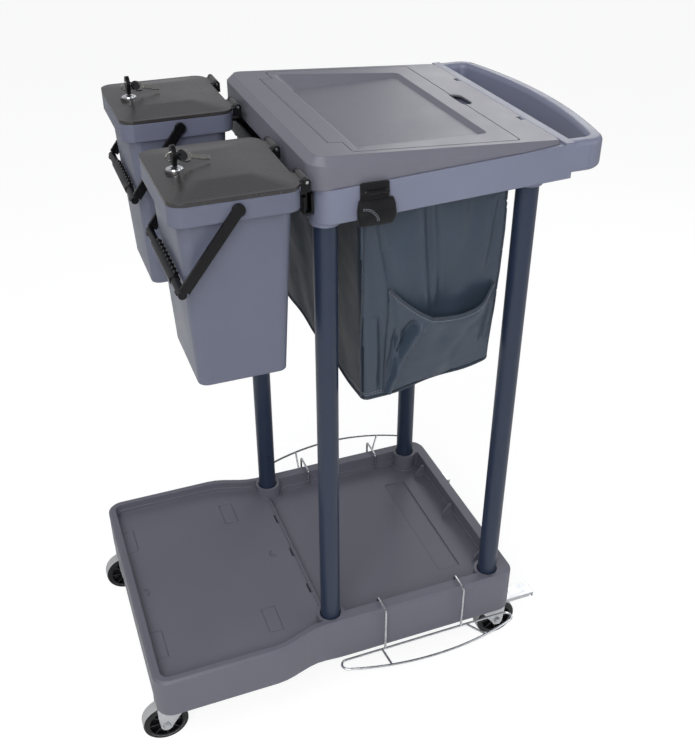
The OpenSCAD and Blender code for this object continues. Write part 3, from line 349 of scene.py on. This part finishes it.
def keyWithHead(name, heads):
    material, tree, out, coords = startMaterial(name)
    nearest = None
    for x, y, z in heads:
        gap = addNode(
            tree, "ShaderNodeVectorMath", (-800, 200), {"operation": "DISTANCE"}, {1: (x, y, z)}, {0: coords},
        ).outputs["Value"]
        nearest = gap if nearest is None else addNode(
            tree, "ShaderNodeMath", (-600, 200), {"operation": "MINIMUM"}, links={0: nearest, 1: gap},
        ).outputs[0]
    isHead = addNode(
        tree, "ShaderNodeMath", (-400, 200), {"operation": "LESS_THAN"}, {1: spareKey["headRadius"]}, {0: nearest},
    ).outputs[0]
    streak = addNode(
        tree, "ShaderNodeTexNoise", (-400, -200), values={"Scale": 260.0, "Detail": 4.0}, links={"Vector": coords},
    )
    roughness = addNode(
        tree, "ShaderNodeMapRange", (-150, -200), values={"To Min": 0.16, "To Max": 0.32},
        links={"Value": streak.outputs["Fac"]},
    )
    soft = addNode(tree, "ShaderNodeBevel", (-150, -450), {"samples": 6}, {"Radius": 0.0003})
    nickel = addNode(
        tree, "ShaderNodeBsdfPrincipled", (100, 200),
        values={"Base Color": srgb(spareKey["nickel"]), "Metallic": 1.0},
        links={"Roughness": roughness.outputs[0], "Normal": soft.outputs[0]},
    )
    nylon = addNode(
        tree, "ShaderNodeBsdfPrincipled", (100, -400),
        values={"Base Color": srgb(spareKey["nylon"]), "Roughness": 0.3}, links={"Normal": soft.outputs[0]},
    )
    mixed = addNode(
        tree, "ShaderNodeMixShader", (500, 0), links={0: isHead, 1: nickel.outputs[0], 2: nylon.outputs[0]},
    )
    tree.links.new(mixed.outputs[0], out.inputs["Surface"])
    return material


# Middle of a spare key's head, found at its known distance from the blade's tip.
def headPlace(name):
    points = [vertex.co for vertex in nodes[name].data.vertices]
    tip = max(points, key=lambda point: point.x)
    near = [point for point in points if spareKey["headFrom"] < (point - tip).length < spareKey["headTo"]]
    return tuple(sum((point[i] for point in near)) / len(near) for i in range(3))


spareKeys = keyWithHead("steelNickelPlatedKeyNylonHead", [headPlace("spare_key_front"), headPlace("spare_key_back")])


edges = {"weld": 0.00002, "sharpAngle": 28}


def smoothPiece(piece):
    piece.data.polygons.foreach_set("use_smooth", [True] * len(piece.data.polygons))
    weld = piece.modifiers.new("weldSeams", "WELD")
    weld.merge_threshold = edges["weld"]
    split = piece.modifiers.new("sharpEdges", "EDGE_SPLIT")
    split.split_angle = math.radians(edges["sharpAngle"])


def materialFor(name):
    table = [
        ("base_tray", basePlastic), ("post_", postPaint), ("upper_frame", framePlastic), ("lid_hinge_pin", zincSteel),
        ("lid", lidPlastic), ("bucket_lid", bucketLidPlastic), ("bucket_pins", zincSteel), ("bucket_rail", blackNylon),
        ("bucket_", bucketPlastic), ("bail_", blackNylon), ("key_", blackNylon), ("spare_key", spareKeys),
        ("lock_", lockChrome), ("bag_", bagCloth), ("strap_", strapWeb), ("tread_", treadRubber), ("wheel_", wheelPlastic),
    ]
    for prefix, material in table:
        if name.startswith(prefix):
            return material
    return zincSteel


# Faces of one piece that pass a test take a second material.
def paintFaces(piece, material, test):
    piece.data.materials.append(material)
    for face in piece.data.polygons:
        if test(face):
            face.material_index = len(piece.data.materials) - 1


lugs = {"fromX": -0.0925, "fromZ": 0.89}  # hinge lugs and hanging hooks: black nylon, past the bucket's rim
tyre = {"flankFrom": 0.6}  # a tyre's flanks are black and its running face grey


# The axle runs the way in which a tyre's points spread least.
def axleOf(piece):
    points = np.array([vertex.co for vertex in piece.data.vertices])
    return Vector(np.linalg.eigh(np.cov((points - points.mean(axis=0)).T))[1][:, 0])


for name, piece in nodes.items():
    piece.data.materials.clear()
    piece.data.materials.append(materialFor(name))
    smoothPiece(piece)
    if name in ("bucket_front", "bucket_back"):
        paintFaces(piece, blackNylon, lambda face: face.center.x > lugs["fromX"] and face.center.z > lugs["fromZ"])
    if name.startswith("tread_"):
        axle = axleOf(piece)
        paintFaces(piece, wheelPlastic, lambda face: abs(face.normal.dot(axle)) > tyre["flankFrom"])
print("looks set on the frame pieces")


def newPiece(name, points, faces, material, smooth=True, uvs=None):
    mesh = bpy.data.meshes.new(name)
    mesh.from_pydata([tuple(p) for p in points], [], faces)
    mesh.validate()
    if uvs is not None:
        layer = mesh.uv_layers.new(name="cloth")
        for loop in mesh.loops:
            layer.data[loop.index].uv = uvs[loop.vertex_index]
    mesh.materials.append(material)
    mesh.polygons.foreach_set("use_smooth", [smooth] * len(mesh.polygons))
    mesh.update()
    piece = bpy.data.objects.new(name, mesh)
    bpy.context.collection.objects.link(piece)
    return piece


def smoothStep(t):
    t = min(1.0, max(0.0, t))
    return t * t * (3 - 2 * t)


# The bag: a lofted shell hung from the frame mouth, with a sagging floor and soft folds.
bag = {
    "top": 0.916, "low": 0.584, "rise": 0.032, "leftLow": 0.009, "leftTop": -0.0027, "rightLow": 0.208, "rightTop": 0.2187,
    "half": 0.184, "bulge": 0.0027, "corner": 0.009, "cloth": 0.0014, "around": 440, "up": 120,
    "middleX": 0.1085, "rings": 15, "sag": 0.007, "lip": 0.0022, "run": 0.21, "depth": 0.374,
}


def bagFloor(x):
    return bag["low"] + bag["rise"] * max(0.0, x) / bag["run"]


def bagHalf(t):
    return bag["half"] + bag["bulge"] * math.sin(math.pi * min(1.0, 1.15 * t))


# One turn round the bag at height t: four straight sides and four round corners, with the outward direction.
def bagOutline(t, count):
    left = bag["leftLow"] + (bag["leftTop"] - bag["leftLow"]) * t
    right = bag["rightLow"] + (bag["rightTop"] - bag["rightLow"]) * smoothStep(1.3 * t)
    r = bag["corner"]
    middle, a, b = (left + right) / 2, (right - left) / 2, bagHalf(t)
    quarter = math.pi * r / 2
    straightX, straightY = 2 * (a - r), 2 * (b - r)
    total = 2 * straightX + 2 * straightY + 2 * math.pi * r
    points = []
    for i in range(count):
        s = total * i / count
        for kind, length in enumerate((straightY, quarter, straightX, quarter) * 2):
            if s <= length or kind == 7:
                break
            s -= length
        if kind == 0:
            p, n = (a, -b + r + s), (1, 0)
        elif kind == 2:
            p, n = (a - r - s, b), (0, 1)
        elif kind == 4:
            p, n = (-a, b - r - s), (-1, 0)
        elif kind == 6:
            p, n = (-a + r + s, -b), (0, -1)
        else:
            cx, cy, start = {
                1: (a - r, b - r, 0), 3: (r - a, b - r, 90), 5: (r - a, r - b, 180), 7: (a - r, r - b, 270),
            }[kind]
            w = math.radians(start) + min(1, s / quarter) * math.pi / 2
            n = (math.cos(w), math.sin(w))
            p = (cx + r * n[0], cy + r * n[1])
        points.append((middle + p[0], p[1], n[0], n[1]))
    return points


# Each fold of the front face: where it starts at the top, where it ends, how wide and how deep.
frontFolds = [
    {"topX": 0.086, "lowX": 0.098, "width": 0.0055, "depth": 0.0052, "from": 1.0, "to": 0.34},
    {"topX": 0.104, "lowX": 0.112, "width": 0.0045, "depth": 0.0040, "from": 1.0, "to": 0.4},
    {"topX": 0.016, "lowX": 0.034, "width": 0.0045, "depth": 0.0050, "from": 0.93, "to": 0.56},
    {"topX": 0.030, "lowX": 0.046, "width": 0.0075, "depth": 0.0042, "from": 0.72, "to": 0.3},
    {"topX": 0.022, "lowX": 0.026, "width": 0.0050, "depth": 0.0050, "from": 0.42, "to": 0.02},
    {"topX": 0.150, "lowX": 0.140, "width": 0.0120, "depth": 0.0030, "from": 1.0, "to": 0.55},
    {"topX": 0.196, "lowX": 0.182, "width": 0.0065, "depth": 0.0045, "from": 0.86, "to": 0.5},
]


# Height of one fold: a ridge with a shallower furrow beside it, strongest in the middle of its run.
def ridge(x, t, fold):
    if not fold["to"] < t < fold["from"] + 0.001:
        return 0.0
    along = (fold["from"] - t) / (fold["from"] - fold["to"])
    middle = fold["topX"] + (fold["lowX"] - fold["topX"]) * along
    aside = (x - middle) / fold["width"]
    shape = math.exp(-aside ** 2) - 0.55 * math.exp(-(aside - 1.6) ** 2)
    return fold["depth"] * shape * math.sin(math.pi * min(1.0, 0.12 + 0.88 * along)) ** 0.7


# How far the cloth stands out from its plain outline: waves, belly and rumples, and the folds in front.
def foldDepth(x, y, t, n):
    front = n[1] < -0.7
    run = x / bag["run"] if abs(n[1]) > 0.5 else y / bag["depth"] + 0.5
    keep = math.sin(math.pi * min(1, max(0, run))) ** 0.6
    hang = smoothStep((1 - t) * 5) * smoothStep(t * 7 + 0.15)
    slant = run * 2.2 + t * 0.9
    wave = 0.0020 * math.sin(2 * math.pi * slant) + 0.0012 * math.sin(2 * math.pi * (run * 3.7 - t * 1.6) + 1.1)
    belly = 0.0045 * math.sin(math.pi * min(1, t * 1.2)) * keep
    rumple = 0.0026 * noise.noise(Vector((x * 11, y * 11, t * 4.5)))
    rumple += 0.0009 * noise.noise(Vector((x * 34, y * 34, t * 13)))
    folds = sum(ridge(x, t, fold) for fold in frontFolds) if front else 0.0
    return (wave * keep + belly + rumple * (0.35 + 0.65 * keep)) * hang + folds * smoothStep((1.02 - t) * 14)


def bagHeight(x, y, t):
    floor = bagFloor(x)
    return floor + (bag["top"] - floor) * t - bag["lip"] * math.sin(2 * math.pi * (x * 9 + y * 7)) * (1 - t) ** 3


def buildBag():
    points, uvs, faces = [], [], []
    count, rows = bag["around"], bag["up"]
    for j in range(rows + 1):
        t = j / rows
        ring = bagOutline(t, count)
        s = 0.0
        for i, (x, y, nx, ny) in enumerate(ring):
            d = foldDepth(x, y, t, (nx, ny))
            z = bagHeight(x, y, t)
            points.append((x + nx * d, y + ny * d, z))
            uvs.append((s, z))
            nxt = ring[(i + 1) % count]
            s += math.hypot(nxt[0] - x, nxt[1] - y)
    leftEndShadeFaces = set()
    for j in range(rows):
        for i, (x, y, nx, ny) in enumerate(bagOutline(j / rows, count)):
            m = (i + 1) % count
            # faces of the left end, which take the painted shade
            if nx < -0.8:
                leftEndShadeFaces.add(len(faces))
            faces.append((j * count + i, j * count + m, (j + 1) * count + m, (j + 1) * count + i))
    # floor panel: rings drawn in towards the middle, sagging
    base = [points[i] for i in range(count)]
    cx, cy = bag["middleX"], 0.0
    ringStart = 0
    for k in range(1, bag["rings"]):
        f = 1 - k / bag["rings"]
        start = len(points)
        for i in range(count):
            x = cx + (base[i][0] - cx) * f
            y = cy + (base[i][1] - cy) * f
            sag = bag["sag"] * (1 - f ** 2)
            ripple = 0.0025 * noise.noise(Vector((x * 20, y * 20, 3.0)))
            points.append((x, y, bagFloor(x) - sag + ripple + (base[i][2] - bagFloor(base[i][0])) * f ** 4))
            uvs.append((x, y))
        for i in range(count):
            m = (i + 1) % count
            faces.append((ringStart + m, ringStart + i, start + i, start + m))
        ringStart = start
    points.append((cx, cy, bagFloor(cx) - bag["sag"]))
    uvs.append((cx, cy))
    for i in range(count):
        faces.append((ringStart + (i + 1) % count, ringStart + i, len(points) - 1))
    piece = newPiece("bagShell", points, faces, bagCloth, uvs=uvs)
    # The left end's faces take the darker cloth: painted shade for the shadow of the buckets and posts.
    paintFaces(piece, leftEndShadeCloth, lambda face: face.index in leftEndShadeFaces)
    solid = piece.modifiers.new("clothThickness", "SOLIDIFY")
    solid.thickness = bag["cloth"]
    solid.offset = -1
    return piece


bagShell = buildBag()
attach(bagShell, "base")
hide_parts("bag_body")
print("bag lofted")


# A round or flat tape swept along points, for seams and bindings.
def sweepTape(name, path, width, height, material, body, sides=10, square=False):
    points, faces, uvs = [], [], []
    path = [Vector(p) for p in path]
    travelled = 0.0
    up = Vector((0, 0, 1))
    for i, p in enumerate(path):
        before, after = path[max(0, i - 1)], path[min(len(path) - 1, i + 1)]
        along = (after - before).normalized()
        side = along.cross(up)
        if side.length < 0.05:
            side = along.cross(Vector((0, 1, 0)))
        side.normalize()
        lift = side.cross(along).normalized()
        if i:
            travelled += (p - path[i - 1]).length
        for k in range(sides):
            w = 2 * math.pi * k / sides
            c, s = math.cos(w), math.sin(w)
            if square:
                c, s = math.copysign(abs(c) ** 0.35, c), math.copysign(abs(s) ** 0.35, s)
            points.append(p + side * (c * width / 2) + lift * (s * height / 2))
            uvs.append((travelled, k * width / sides))
    for i in range(len(path) - 1):
        for k in range(sides):
            m = (k + 1) % sides
            faces.append((i * sides + k, i * sides + m, (i + 1) * sides + m, (i + 1) * sides + k))
    faces.append(tuple(range(sides))[::-1])
    faces.append(tuple((len(path) - 1) * sides + k for k in range(sides)))
    piece = newPiece(name, points, faces, material, uvs=uvs)
    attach(piece, body)
    return piece


# Point on the outer face of the bag at ring fraction u and height t.
def bagPoint(u, t, out):
    ring = bagOutline(t, bag["around"])
    i = int(round(u * bag["around"])) % bag["around"]
    x, y, nx, ny = ring[i]
    d = foldDepth(x, y, t, (nx, ny)) + out
    return (x + nx * d, y + ny * d, bagHeight(x, y, t))


seams = {"steps": 220, "hem": 0.0034, "piping": 0.003, "hemRows": {"Low": 0.012, "High": 0.022}}
hem = [bagPoint(i / seams["steps"], 0.004, 0.0006) for i in range(seams["steps"])]
bottomHem = sweepTape("bagBottomPiping", hem + [hem[0], hem[1]], seams["hem"], seams["hem"], bindingTape, "base", 8)
halfWay = bagOutline(0.5, bag["around"])


# Place in the outline whose outward direction is nearest to that corner's.
def cornerIndex(sx, sy):
    way = math.sqrt(0.5)
    return min(range(bag["around"]), key=lambda i: (halfWay[i][2] - sx * way) ** 2 + (halfWay[i][3] - sy * way) ** 2)


for number, index in enumerate(cornerIndex(sx, sy) for sx in (-1, 1) for sy in (-1, 1)):
    line = [bagPoint(index / bag["around"], j / 60 * 0.9, 0.0005) for j in range(61)]
    seam = sweepTape("bagCornerPiping%d" % number, line, seams["piping"], seams["piping"], bindingTape, "base", 8)
print("bag seams made")


# The pocket: one panel sewn at its sides and foot, its slack mouth falling open to the front.
pocket = {
    "x0": 0.040, "x1": 0.203, "mouth": 0.768, "mouthFall": 0.020, "scoop": 0.042, "foot": 0.006, "stand": 0.0024,
    "slack": 0.024, "gape": 0.010, "gapeAt": 0.82, "cloth": 0.0014, "across": 160, "up": 80,
    "cutWidth": 0.182, "cutHeight": 0.172, "cutArea": 0.0239,
}


def pocketMouth(u):
    scoop = pocket["scoop"] * math.sin(math.pi * u ** 0.95) * (1 - 0.1 * u)
    return pocket["mouth"] - pocket["mouthFall"] * u - scoop


# Slanting pleats where the slack of the pocket is taken in beside its left seam.
pocketPleats = [
    {"topU": 0.30, "lowU": 0.03, "width": 0.030, "depth": 0.0095, "top": 0.93, "foot": -0.1},
    {"topU": 0.13, "lowU": 0.06, "width": 0.020, "depth": 0.0060, "top": 0.72, "foot": 0.12},
    {"topU": 0.97, "lowU": 0.90, "width": 0.022, "depth": 0.0040, "top": 0.9, "foot": 0.3},
]


# Point on the pocket at u across and v up, standing off the bag's face by its slack, pleats and gape.
def pocketPoint(u, v):
    x = pocket["x0"] + (pocket["x1"] - pocket["x0"]) * u
    low = bagFloor(x) + pocket["foot"]
    z = low + (pocketMouth(u) - low) * v
    t = (z - bagFloor(x)) / (bag["top"] - bagFloor(x))
    face = bagHalf(t) + max(0.0, foldDepth(x, -bag["depth"] / 2, t, (0, -1)))
    slack = math.sin(math.pi * min(1, max(0, u))) ** 0.8 * v ** 0.8
    gape = pocket["gape"] * math.exp(-((u - pocket["gapeAt"]) / 0.11) ** 2) * smoothStep((v - 0.55) * 2.6)
    pleats = 0.0
    for fold in pocketPleats:
        middle = fold["topU"] + (fold["lowU"] - fold["topU"]) * (1 - v)
        reach = smoothStep((fold["top"] - v) * 6) * smoothStep((v - fold["foot"]) * 9)
        aside = (u - middle) / fold["width"]
        pleats += fold["depth"] * reach * (math.exp(-aside ** 2) - 0.9 * math.exp(-(aside + 1.7) ** 2))
    drape = 0.0014 * math.sin(2 * math.pi * (u * 2.3 + v * 0.8)) * math.sin(math.pi * u) * smoothStep(v * 3)
    soft = 0.0018 * noise.noise(Vector((u * 5, v * 5, 7.0))) * math.sin(math.pi * u)
    pleats = max(-0.0016 - 0.02 * slack, pleats)  # a furrow stops short of the bag's face
    y = -(face + pocket["stand"] + pocket["slack"] * slack + gape + pleats + drape + soft)
    return (x, y, z)


def buildPocket():
    points, uvs, faces = [], [], []
    n, m = pocket["across"], pocket["up"]
    for j in range(m + 1):
        for i in range(n + 1):
            p = pocketPoint(i / n, j / m)
            points.append(p)
            uvs.append((p[0], p[2]))
    for j in range(m):
        for i in range(n):
            a = j * (n + 1) + i
            faces.append((a, a + 1, a + n + 2, a + n + 1))
    piece = newPiece("bagPocket", points, faces, bagCloth, uvs=uvs)
    solid = piece.modifiers.new("clothThickness", "SOLIDIFY")
    solid.thickness = pocket["cloth"]
    solid.offset = 0
    return piece


pocketPanel = buildPocket()
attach(pocketPanel, "base")
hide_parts("bag_pocket")
mouthLine = [pocketPoint(i / 80, 1.0) for i in range(81)]
mouthTape = sweepTape("pocketMouthBinding", mouthLine, 0.0032, 0.0042, bindingTape, "base", 12, True)
for name, u in (("Left", 0.0), ("Right", 1.0)):
    side = [pocketPoint(u, j / 40) for j in range(41)]
    edge = sweepTape("pocket%sBinding" % name, side, 0.003, 0.0022, bindingTape, "base", 10)
print("pocket draped")


# Stitches along a curve: a geometry node group that lays short thread loops at a set spacing.
def stitchGroup():
    group = bpy.data.node_groups.new("stitchRow", "GeometryNodeTree")
    face = group.interface
    face.new_socket("Geometry", in_out="INPUT", socket_type="NodeSocketGeometry")
    inputs = {}
    for key, label, kind in (
        ("spacing", "Stitch Spacing", "Float"), ("length", "Stitch Length", "Float"),
        ("thick", "Thread Radius", "Float"), ("thread", "Thread", "Material"),
    ):
        inputs[key] = face.new_socket(label, in_out="INPUT", socket_type="NodeSocket" + kind).identifier
    face.new_socket("Geometry", in_out="OUTPUT", socket_type="NodeSocketGeometry")
    start = addNode(group, "NodeGroupInput", (-800, 0))
    points = addNode(
        group, "GeometryNodeCurveToPoints", (-500, 0), {"mode": "LENGTH"},
        links={"Curve": start.outputs["Geometry"], "Length": start.outputs["Stitch Spacing"]},
    )
    stitch = addNode(
        group, "GeometryNodeMeshCylinder", (-500, -300), {"fill_type": "NGON"}, {"Vertices": 6},
        {"Radius": start.outputs["Thread Radius"], "Depth": start.outputs["Stitch Length"]},
    )
    lay = addNode(
        group, "GeometryNodeInstanceOnPoints", (-200, 0),
        links={
            "Points": points.outputs["Points"], "Instance": stitch.outputs["Mesh"],
            "Rotation": points.outputs["Rotation"],
        },
    )
    real = addNode(group, "GeometryNodeRealizeInstances", (0, 0), links={"Geometry": lay.outputs[0]})
    paint = addNode(
        group, "GeometryNodeSetMaterial", (200, 0),
        links={"Geometry": real.outputs[0], "Material": start.outputs["Thread"]},
    )
    end = addNode(group, "NodeGroupOutput", (400, 0))
    group.links.new(paint.outputs[0], end.inputs["Geometry"])
    return group, inputs


stitches, stitchInputs = stitchGroup()
stitch = {
    "strap": {"spacing": 0.0032, "length": 0.0023, "thick": 0.00034},
    "hem": {"spacing": 0.0045, "length": 0.003, "thick": 0.0003},
    "pocket": {"spacing": 0.004, "length": 0.0027, "thick": 0.0003},
}


def stitchLine(name, path, sizes, body):
    curve = bpy.data.curves.new(name + "Path", "CURVE")
    curve.dimensions = "3D"
    spline = curve.splines.new("POLY")
    spline.points.add(len(path) - 1)
    for point, place in zip(spline.points, path):
        point.co = (*place, 1)
    holder = bpy.data.objects.new(name + "Path", curve)
    bpy.context.collection.objects.link(holder)
    modifier = holder.modifiers.new("stitches", "NODES")
    modifier.node_group = stitches
    for key, size in sizes.items():
        modifier[stitchInputs[key]] = size
    modifier[stitchInputs["thread"]] = threadPale
    depsgraph = bpy.context.evaluated_depsgraph_get()
    mesh = bpy.data.meshes.new_from_object(holder.evaluated_get(depsgraph), depsgraph=depsgraph)
    bpy.data.objects.remove(holder)
    mesh.materials.clear()
    mesh.materials.append(threadPale)
    piece = bpy.data.objects.new(name, mesh)
    bpy.context.collection.objects.link(piece)
    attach(piece, body)
    return piece


# Straps: a padded loop folded under the frame edge, a narrower band above it that holds it, and two stitched arcs.
strap = {
    "loopHalf": 0.0262, "loopHigh": 0.035, "bulge": 0.0125, "square": 3.6, "tuck": 0.0002, "dent": 0.0022,
    "bandHalf": 0.0195, "bandThick": 0.0048, "bandFrom": 0.028, "catchHalf": 0.0165, "catchHigh": 0.0075,
    "catchDrop": 0.016, "arcs": {"Inner": 0.0185, "Outer": 0.0205},
}


# A soft block through rings, each given as height, middle, half width and the depth of its back and front.
def pad(name, rings, material, body, power, around=48):
    points, uvs, faces = [], [], []
    for j, (z, cx, half, yBack, yFront) in enumerate(rings):
        for k in range(around):
            w = 2 * math.pi * k / around
            c, q = math.cos(w), math.sin(w)
            c, q = math.copysign(abs(c) ** (2 / power), c), math.copysign(abs(q) ** (2 / power), q)
            points.append((cx + half * c, (yBack + yFront) / 2 + abs(yFront - yBack) / 2 * q, z))
            uvs.append((half * w / 2, z))
        if j:
            start = (j - 1) * around
            for k in range(around):
                m = (k + 1) % around
                faces.append((start + k, start + m, start + around + m, start + around + k))
    faces.append(tuple(range(around))[::-1])
    faces.append(tuple((len(rings) - 1) * around + k for k in range(around)))
    piece = newPiece(name, points, faces, material, uvs=uvs)
    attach(piece, body)
    return piece


def loopRing(f, low, middle, wall, sign):
    swell = max(0.0, math.sin(math.pi * (0.06 + 0.88 * f)))
    out = strap["bulge"] * swell ** 0.55 - strap["dent"] * math.exp(-((f - 0.62) / 0.09) ** 2)
    half = strap["loopHalf"] - 0.0055 * (1 - swell ** 0.5)
    return low + strap["loopHigh"] * f, middle, half, wall - sign * strap["tuck"], wall + sign * out


def bandRing(f, low, high, middle, wall, sign):
    z = low + strap["bandFrom"] + (high - low - strap["bandFrom"]) * f
    thick = strap["bandThick"] + strap["dent"] * math.exp(-((f - 0.55) / 0.12) ** 2)
    half = strap["bandHalf"] - 0.003 * (f > 0.97)
    return z, middle - 0.002, half, wall - sign * strap["tuck"], wall + sign * thick


def catchRing(f, high, middle, wall, sign):
    fromMiddle = abs(2 * f - 1)
    half = strap["catchHalf"] - 0.002 * fromMiddle
    out = 0.0078 - 0.0014 * fromMiddle ** 2
    return high - strap["catchDrop"] + strap["catchHigh"] * f, middle - 0.001, half, wall + sign * 0.003, wall + sign * out


# Point of a stitched arc, lying on the face of the loop.
def arcPoint(f, radius, low, middle, wall, sign):
    w = math.radians(12 + 78 * f)
    x = middle - 0.019 + radius * math.cos(w)
    z = low + 0.005 + 1.05 * radius * math.sin(w)
    half, back, front = loopRing((z - low) / strap["loopHigh"], low, middle, wall, sign)[2:]
    spread = max(0.0, 1 - min(1.0, abs(x - middle) / half) ** strap["square"]) ** (1 / strap["square"])
    return (x, back / 2 + front / 2 + sign * (abs(front - back) / 2 * spread + 0.0003), z)


for name, sign in (("Front", -1), ("Back", 1)):
    node = "strap_" + name.lower()
    low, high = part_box(node)
    frameLow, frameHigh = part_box("upper_frame")
    middle, wall = 0.5 * (low.x + high.x), frameLow.y if sign < 0 else frameHigh.y
    rings = [loopRing(k / 30, low.z, middle, wall, sign) for k in range(31)]
    loop = pad("strap%sLoop" % name, rings, strapWeb, "base", strap["square"])
    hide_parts(node)
    rings = [bandRing(k / 24, low.z, high.z, middle, wall, sign) for k in range(25)]
    pad("strap%sBand" % name, rings, strapWeb, "base", 5.0)
    rings = [catchRing(k / 8, high.z, middle, wall, sign) for k in range(9)]
    pad("strap%sCatch" % name, rings, blackNylon, "base", 4.0)
    for row, radius in strap["arcs"].items():
        path = [arcPoint(k / 40, radius, low.z, middle, wall, sign) for k in range(41)]
        stitchLine("strap%sStitch%s" % (name, row), path, stitch["strap"], "base")

for name, t in seams["hemRows"].items():
    path = [bagPoint(i / seams["steps"], t, 0.0004) for i in range(seams["steps"])]
    path = [(x, y + math.copysign(0.0008, y), z + 0.004) for x, y, z in path]
    stitchLine("bagHemStitch" + name, path, stitch["hem"], "base")
path = [(x, y - 0.0021, z - 0.0035) for x, y, z in mouthLine]
stitchLine("pocketMouthStitch", path, stitch["pocket"], "base")
print("stitches laid")


# Floor, light and camera. The camera stands where the photograph's perspective puts it.
stage = {"floorHalf": 9.0, "ambient": 0.3, "mirror": 0.95, "glow": 1.1, "glowShare": 0.8}
lamps = {
    "keySoftbox": {
        "place": (-1.3, -2.5, 2.2), "target": (0, 0, 0.6), "size": (1.8, 1.5), "power": 50.0,
        "colour": (1.0, 0.99, 0.97),
    },
    "overSoftbox": {
        "place": (-1.0, -0.9, 2.7), "target": (-0.1, 0, 0.1), "size": (1.6, 1.6), "power": 24.0,
        "colour": (1.0, 1.0, 1.0),
    },
    "fillSoftbox": {
        "place": (2.3, -1.4, 1.6), "target": (0, 0, 0.5), "size": (1.4, 1.8), "power": 14.0,
        "colour": (0.96, 0.98, 1.0),
    },
    "topSoftbox": {
        "place": (1.5, 1.5, 1.75), "target": (0, 0, 0.9), "size": (1.3, 0.9), "power": 9.0, "colour": (1.0, 1.0, 1.0),
    },
}
view = {"place": (-0.4239, -1.2535, 1.3815), "turn": (57.07, 0, -20.87), "lens": 46.51, "sensor": 36.0, "far": 60.0}


def buildStage():
    size = stage["floorHalf"]
    corners = [(-size, -size, 0), (size, -size, 0), (size, size, 0), (-size, size, 0)]
    floor = newPiece("studioFloor", corners, [(0, 1, 2, 3)], floorPaper(), False)
    world = bpy.data.worlds.new("studioWorld")
    bpy.context.scene.world = world
    world.use_nodes = True
    tree = world.node_tree
    tree.nodes.clear()
    ray = addNode(tree, "ShaderNodeLightPath", (-700, 300))
    coords = addNode(tree, "ShaderNodeTexCoord", (-1100, 0)).outputs["Generated"]
    split = addNode(tree, "ShaderNodeSeparateXYZ", (-900, 0), links={"Vector": coords})
    mirrorSky = ramp(
        tree, split.outputs["Z"],
        [
            (0.0, (0.6, 0.6, 0.62, 1)), (0.48, (0.55, 0.56, 0.58, 1)), (0.62, (0.34, 0.35, 0.37, 1)),
            (1.0, (0.16, 0.16, 0.17, 1)),
        ],
        (-700, 0),
    )
    diffuse = addNode(
        tree, "ShaderNodeBackground", (-300, 0), values={"Color": (0.96, 0.98, 1.0, 1), "Strength": stage["ambient"]},
    )
    mirror = addNode(
        tree, "ShaderNodeBackground", (-300, -200), values={"Strength": stage["mirror"]}, links={"Color": mirrorSky},
    )
    seen = addNode(tree, "ShaderNodeBackground", (-300, 200), values={"Color": (1, 1, 1, 1), "Strength": 1.0})
    shiny = addNode(
        tree, "ShaderNodeMath", (-450, 300), {"operation": "MAXIMUM"},
        links={0: ray.outputs["Is Glossy Ray"], 1: ray.outputs["Is Transmission Ray"]},
    )
    first = addNode(
        tree, "ShaderNodeMixShader", (-50, 0),
        links={0: shiny.outputs[0], 1: diffuse.outputs[0], 2: mirror.outputs[0]},
    )
    last = addNode(
        tree, "ShaderNodeMixShader", (150, 0),
        links={0: ray.outputs["Is Camera Ray"], 1: first.outputs[0], 2: seen.outputs[0]},
    )
    out = addNode(tree, "ShaderNodeOutputWorld", (350, 0))
    tree.links.new(last.outputs[0], out.inputs["Surface"])


# Seamless studio paper: matt white, uncoated.
def floorPaper():
    material, tree, out, coords = startMaterial("studioPaperMattWhite")
    fibres = addNode(
        tree, "ShaderNodeTexNoise", (-800, 0), values={"Scale": 40.0, "Detail": 4.0}, links={"Vector": coords},
    )
    colour = ramp(
        tree, fibres.outputs["Fac"], [(0.3, (0.955, 0.955, 0.955, 1)), (0.7, (0.975, 0.975, 0.975, 1))], (-500, 0),
    )
    shader = addNode(
        tree, "ShaderNodeBsdfPrincipled", (300, 0), values={"Roughness": 0.9, "Specular IOR Level": 0.1},
        links={"Base Color": colour},
    )
    glow = addNode(tree, "ShaderNodeEmission", (300, -300), values={"Color": (1, 1, 1, 1), "Strength": stage["glow"]})
    ray = addNode(tree, "ShaderNodeLightPath", (100, 300))
    part = addNode(
        tree, "ShaderNodeMath", (300, 300), {"operation": "MULTIPLY"}, {1: stage["glowShare"]},
        {0: ray.outputs["Is Camera Ray"]},
    )
    lifted = addNode(
        tree, "ShaderNodeMixShader", (600, 0), links={0: part.outputs[0], 1: shader.outputs[0], 2: glow.outputs[0]},
    )
    tree.links.new(lifted.outputs[0], out.inputs["Surface"])
    return material


def areaLight(name, lamp):
    light = bpy.data.lights.new(name, "AREA")
    light.shape = "RECTANGLE"
    light.size, light.size_y = lamp["size"]
    light.energy = lamp["power"]
    light.color = lamp["colour"]
    holder = bpy.data.objects.new(name, light)
    holder.location = lamp["place"]
    aim = Vector(lamp["target"]) - Vector(lamp["place"])
    holder.rotation_euler = aim.to_track_quat("-Z", "Y").to_euler()
    bpy.context.collection.objects.link(holder)


buildStage()
for name, lamp in lamps.items():
    areaLight(name, lamp)

cameraData = bpy.data.cameras.new("photoCamera")
cameraData.lens = view["lens"]
cameraData.sensor_width = view["sensor"]
cameraData.clip_end = view["far"]
camera = bpy.data.objects.new("photoCamera", cameraData)
camera.location = view["place"]
camera.rotation_euler = tuple(math.radians(angle) for angle in view["turn"])
bpy.context.collection.objects.link(camera)
bpy.context.scene.camera = camera
bpy.context.scene.view_settings.view_transform = "Standard"
print("stage, light and camera set")
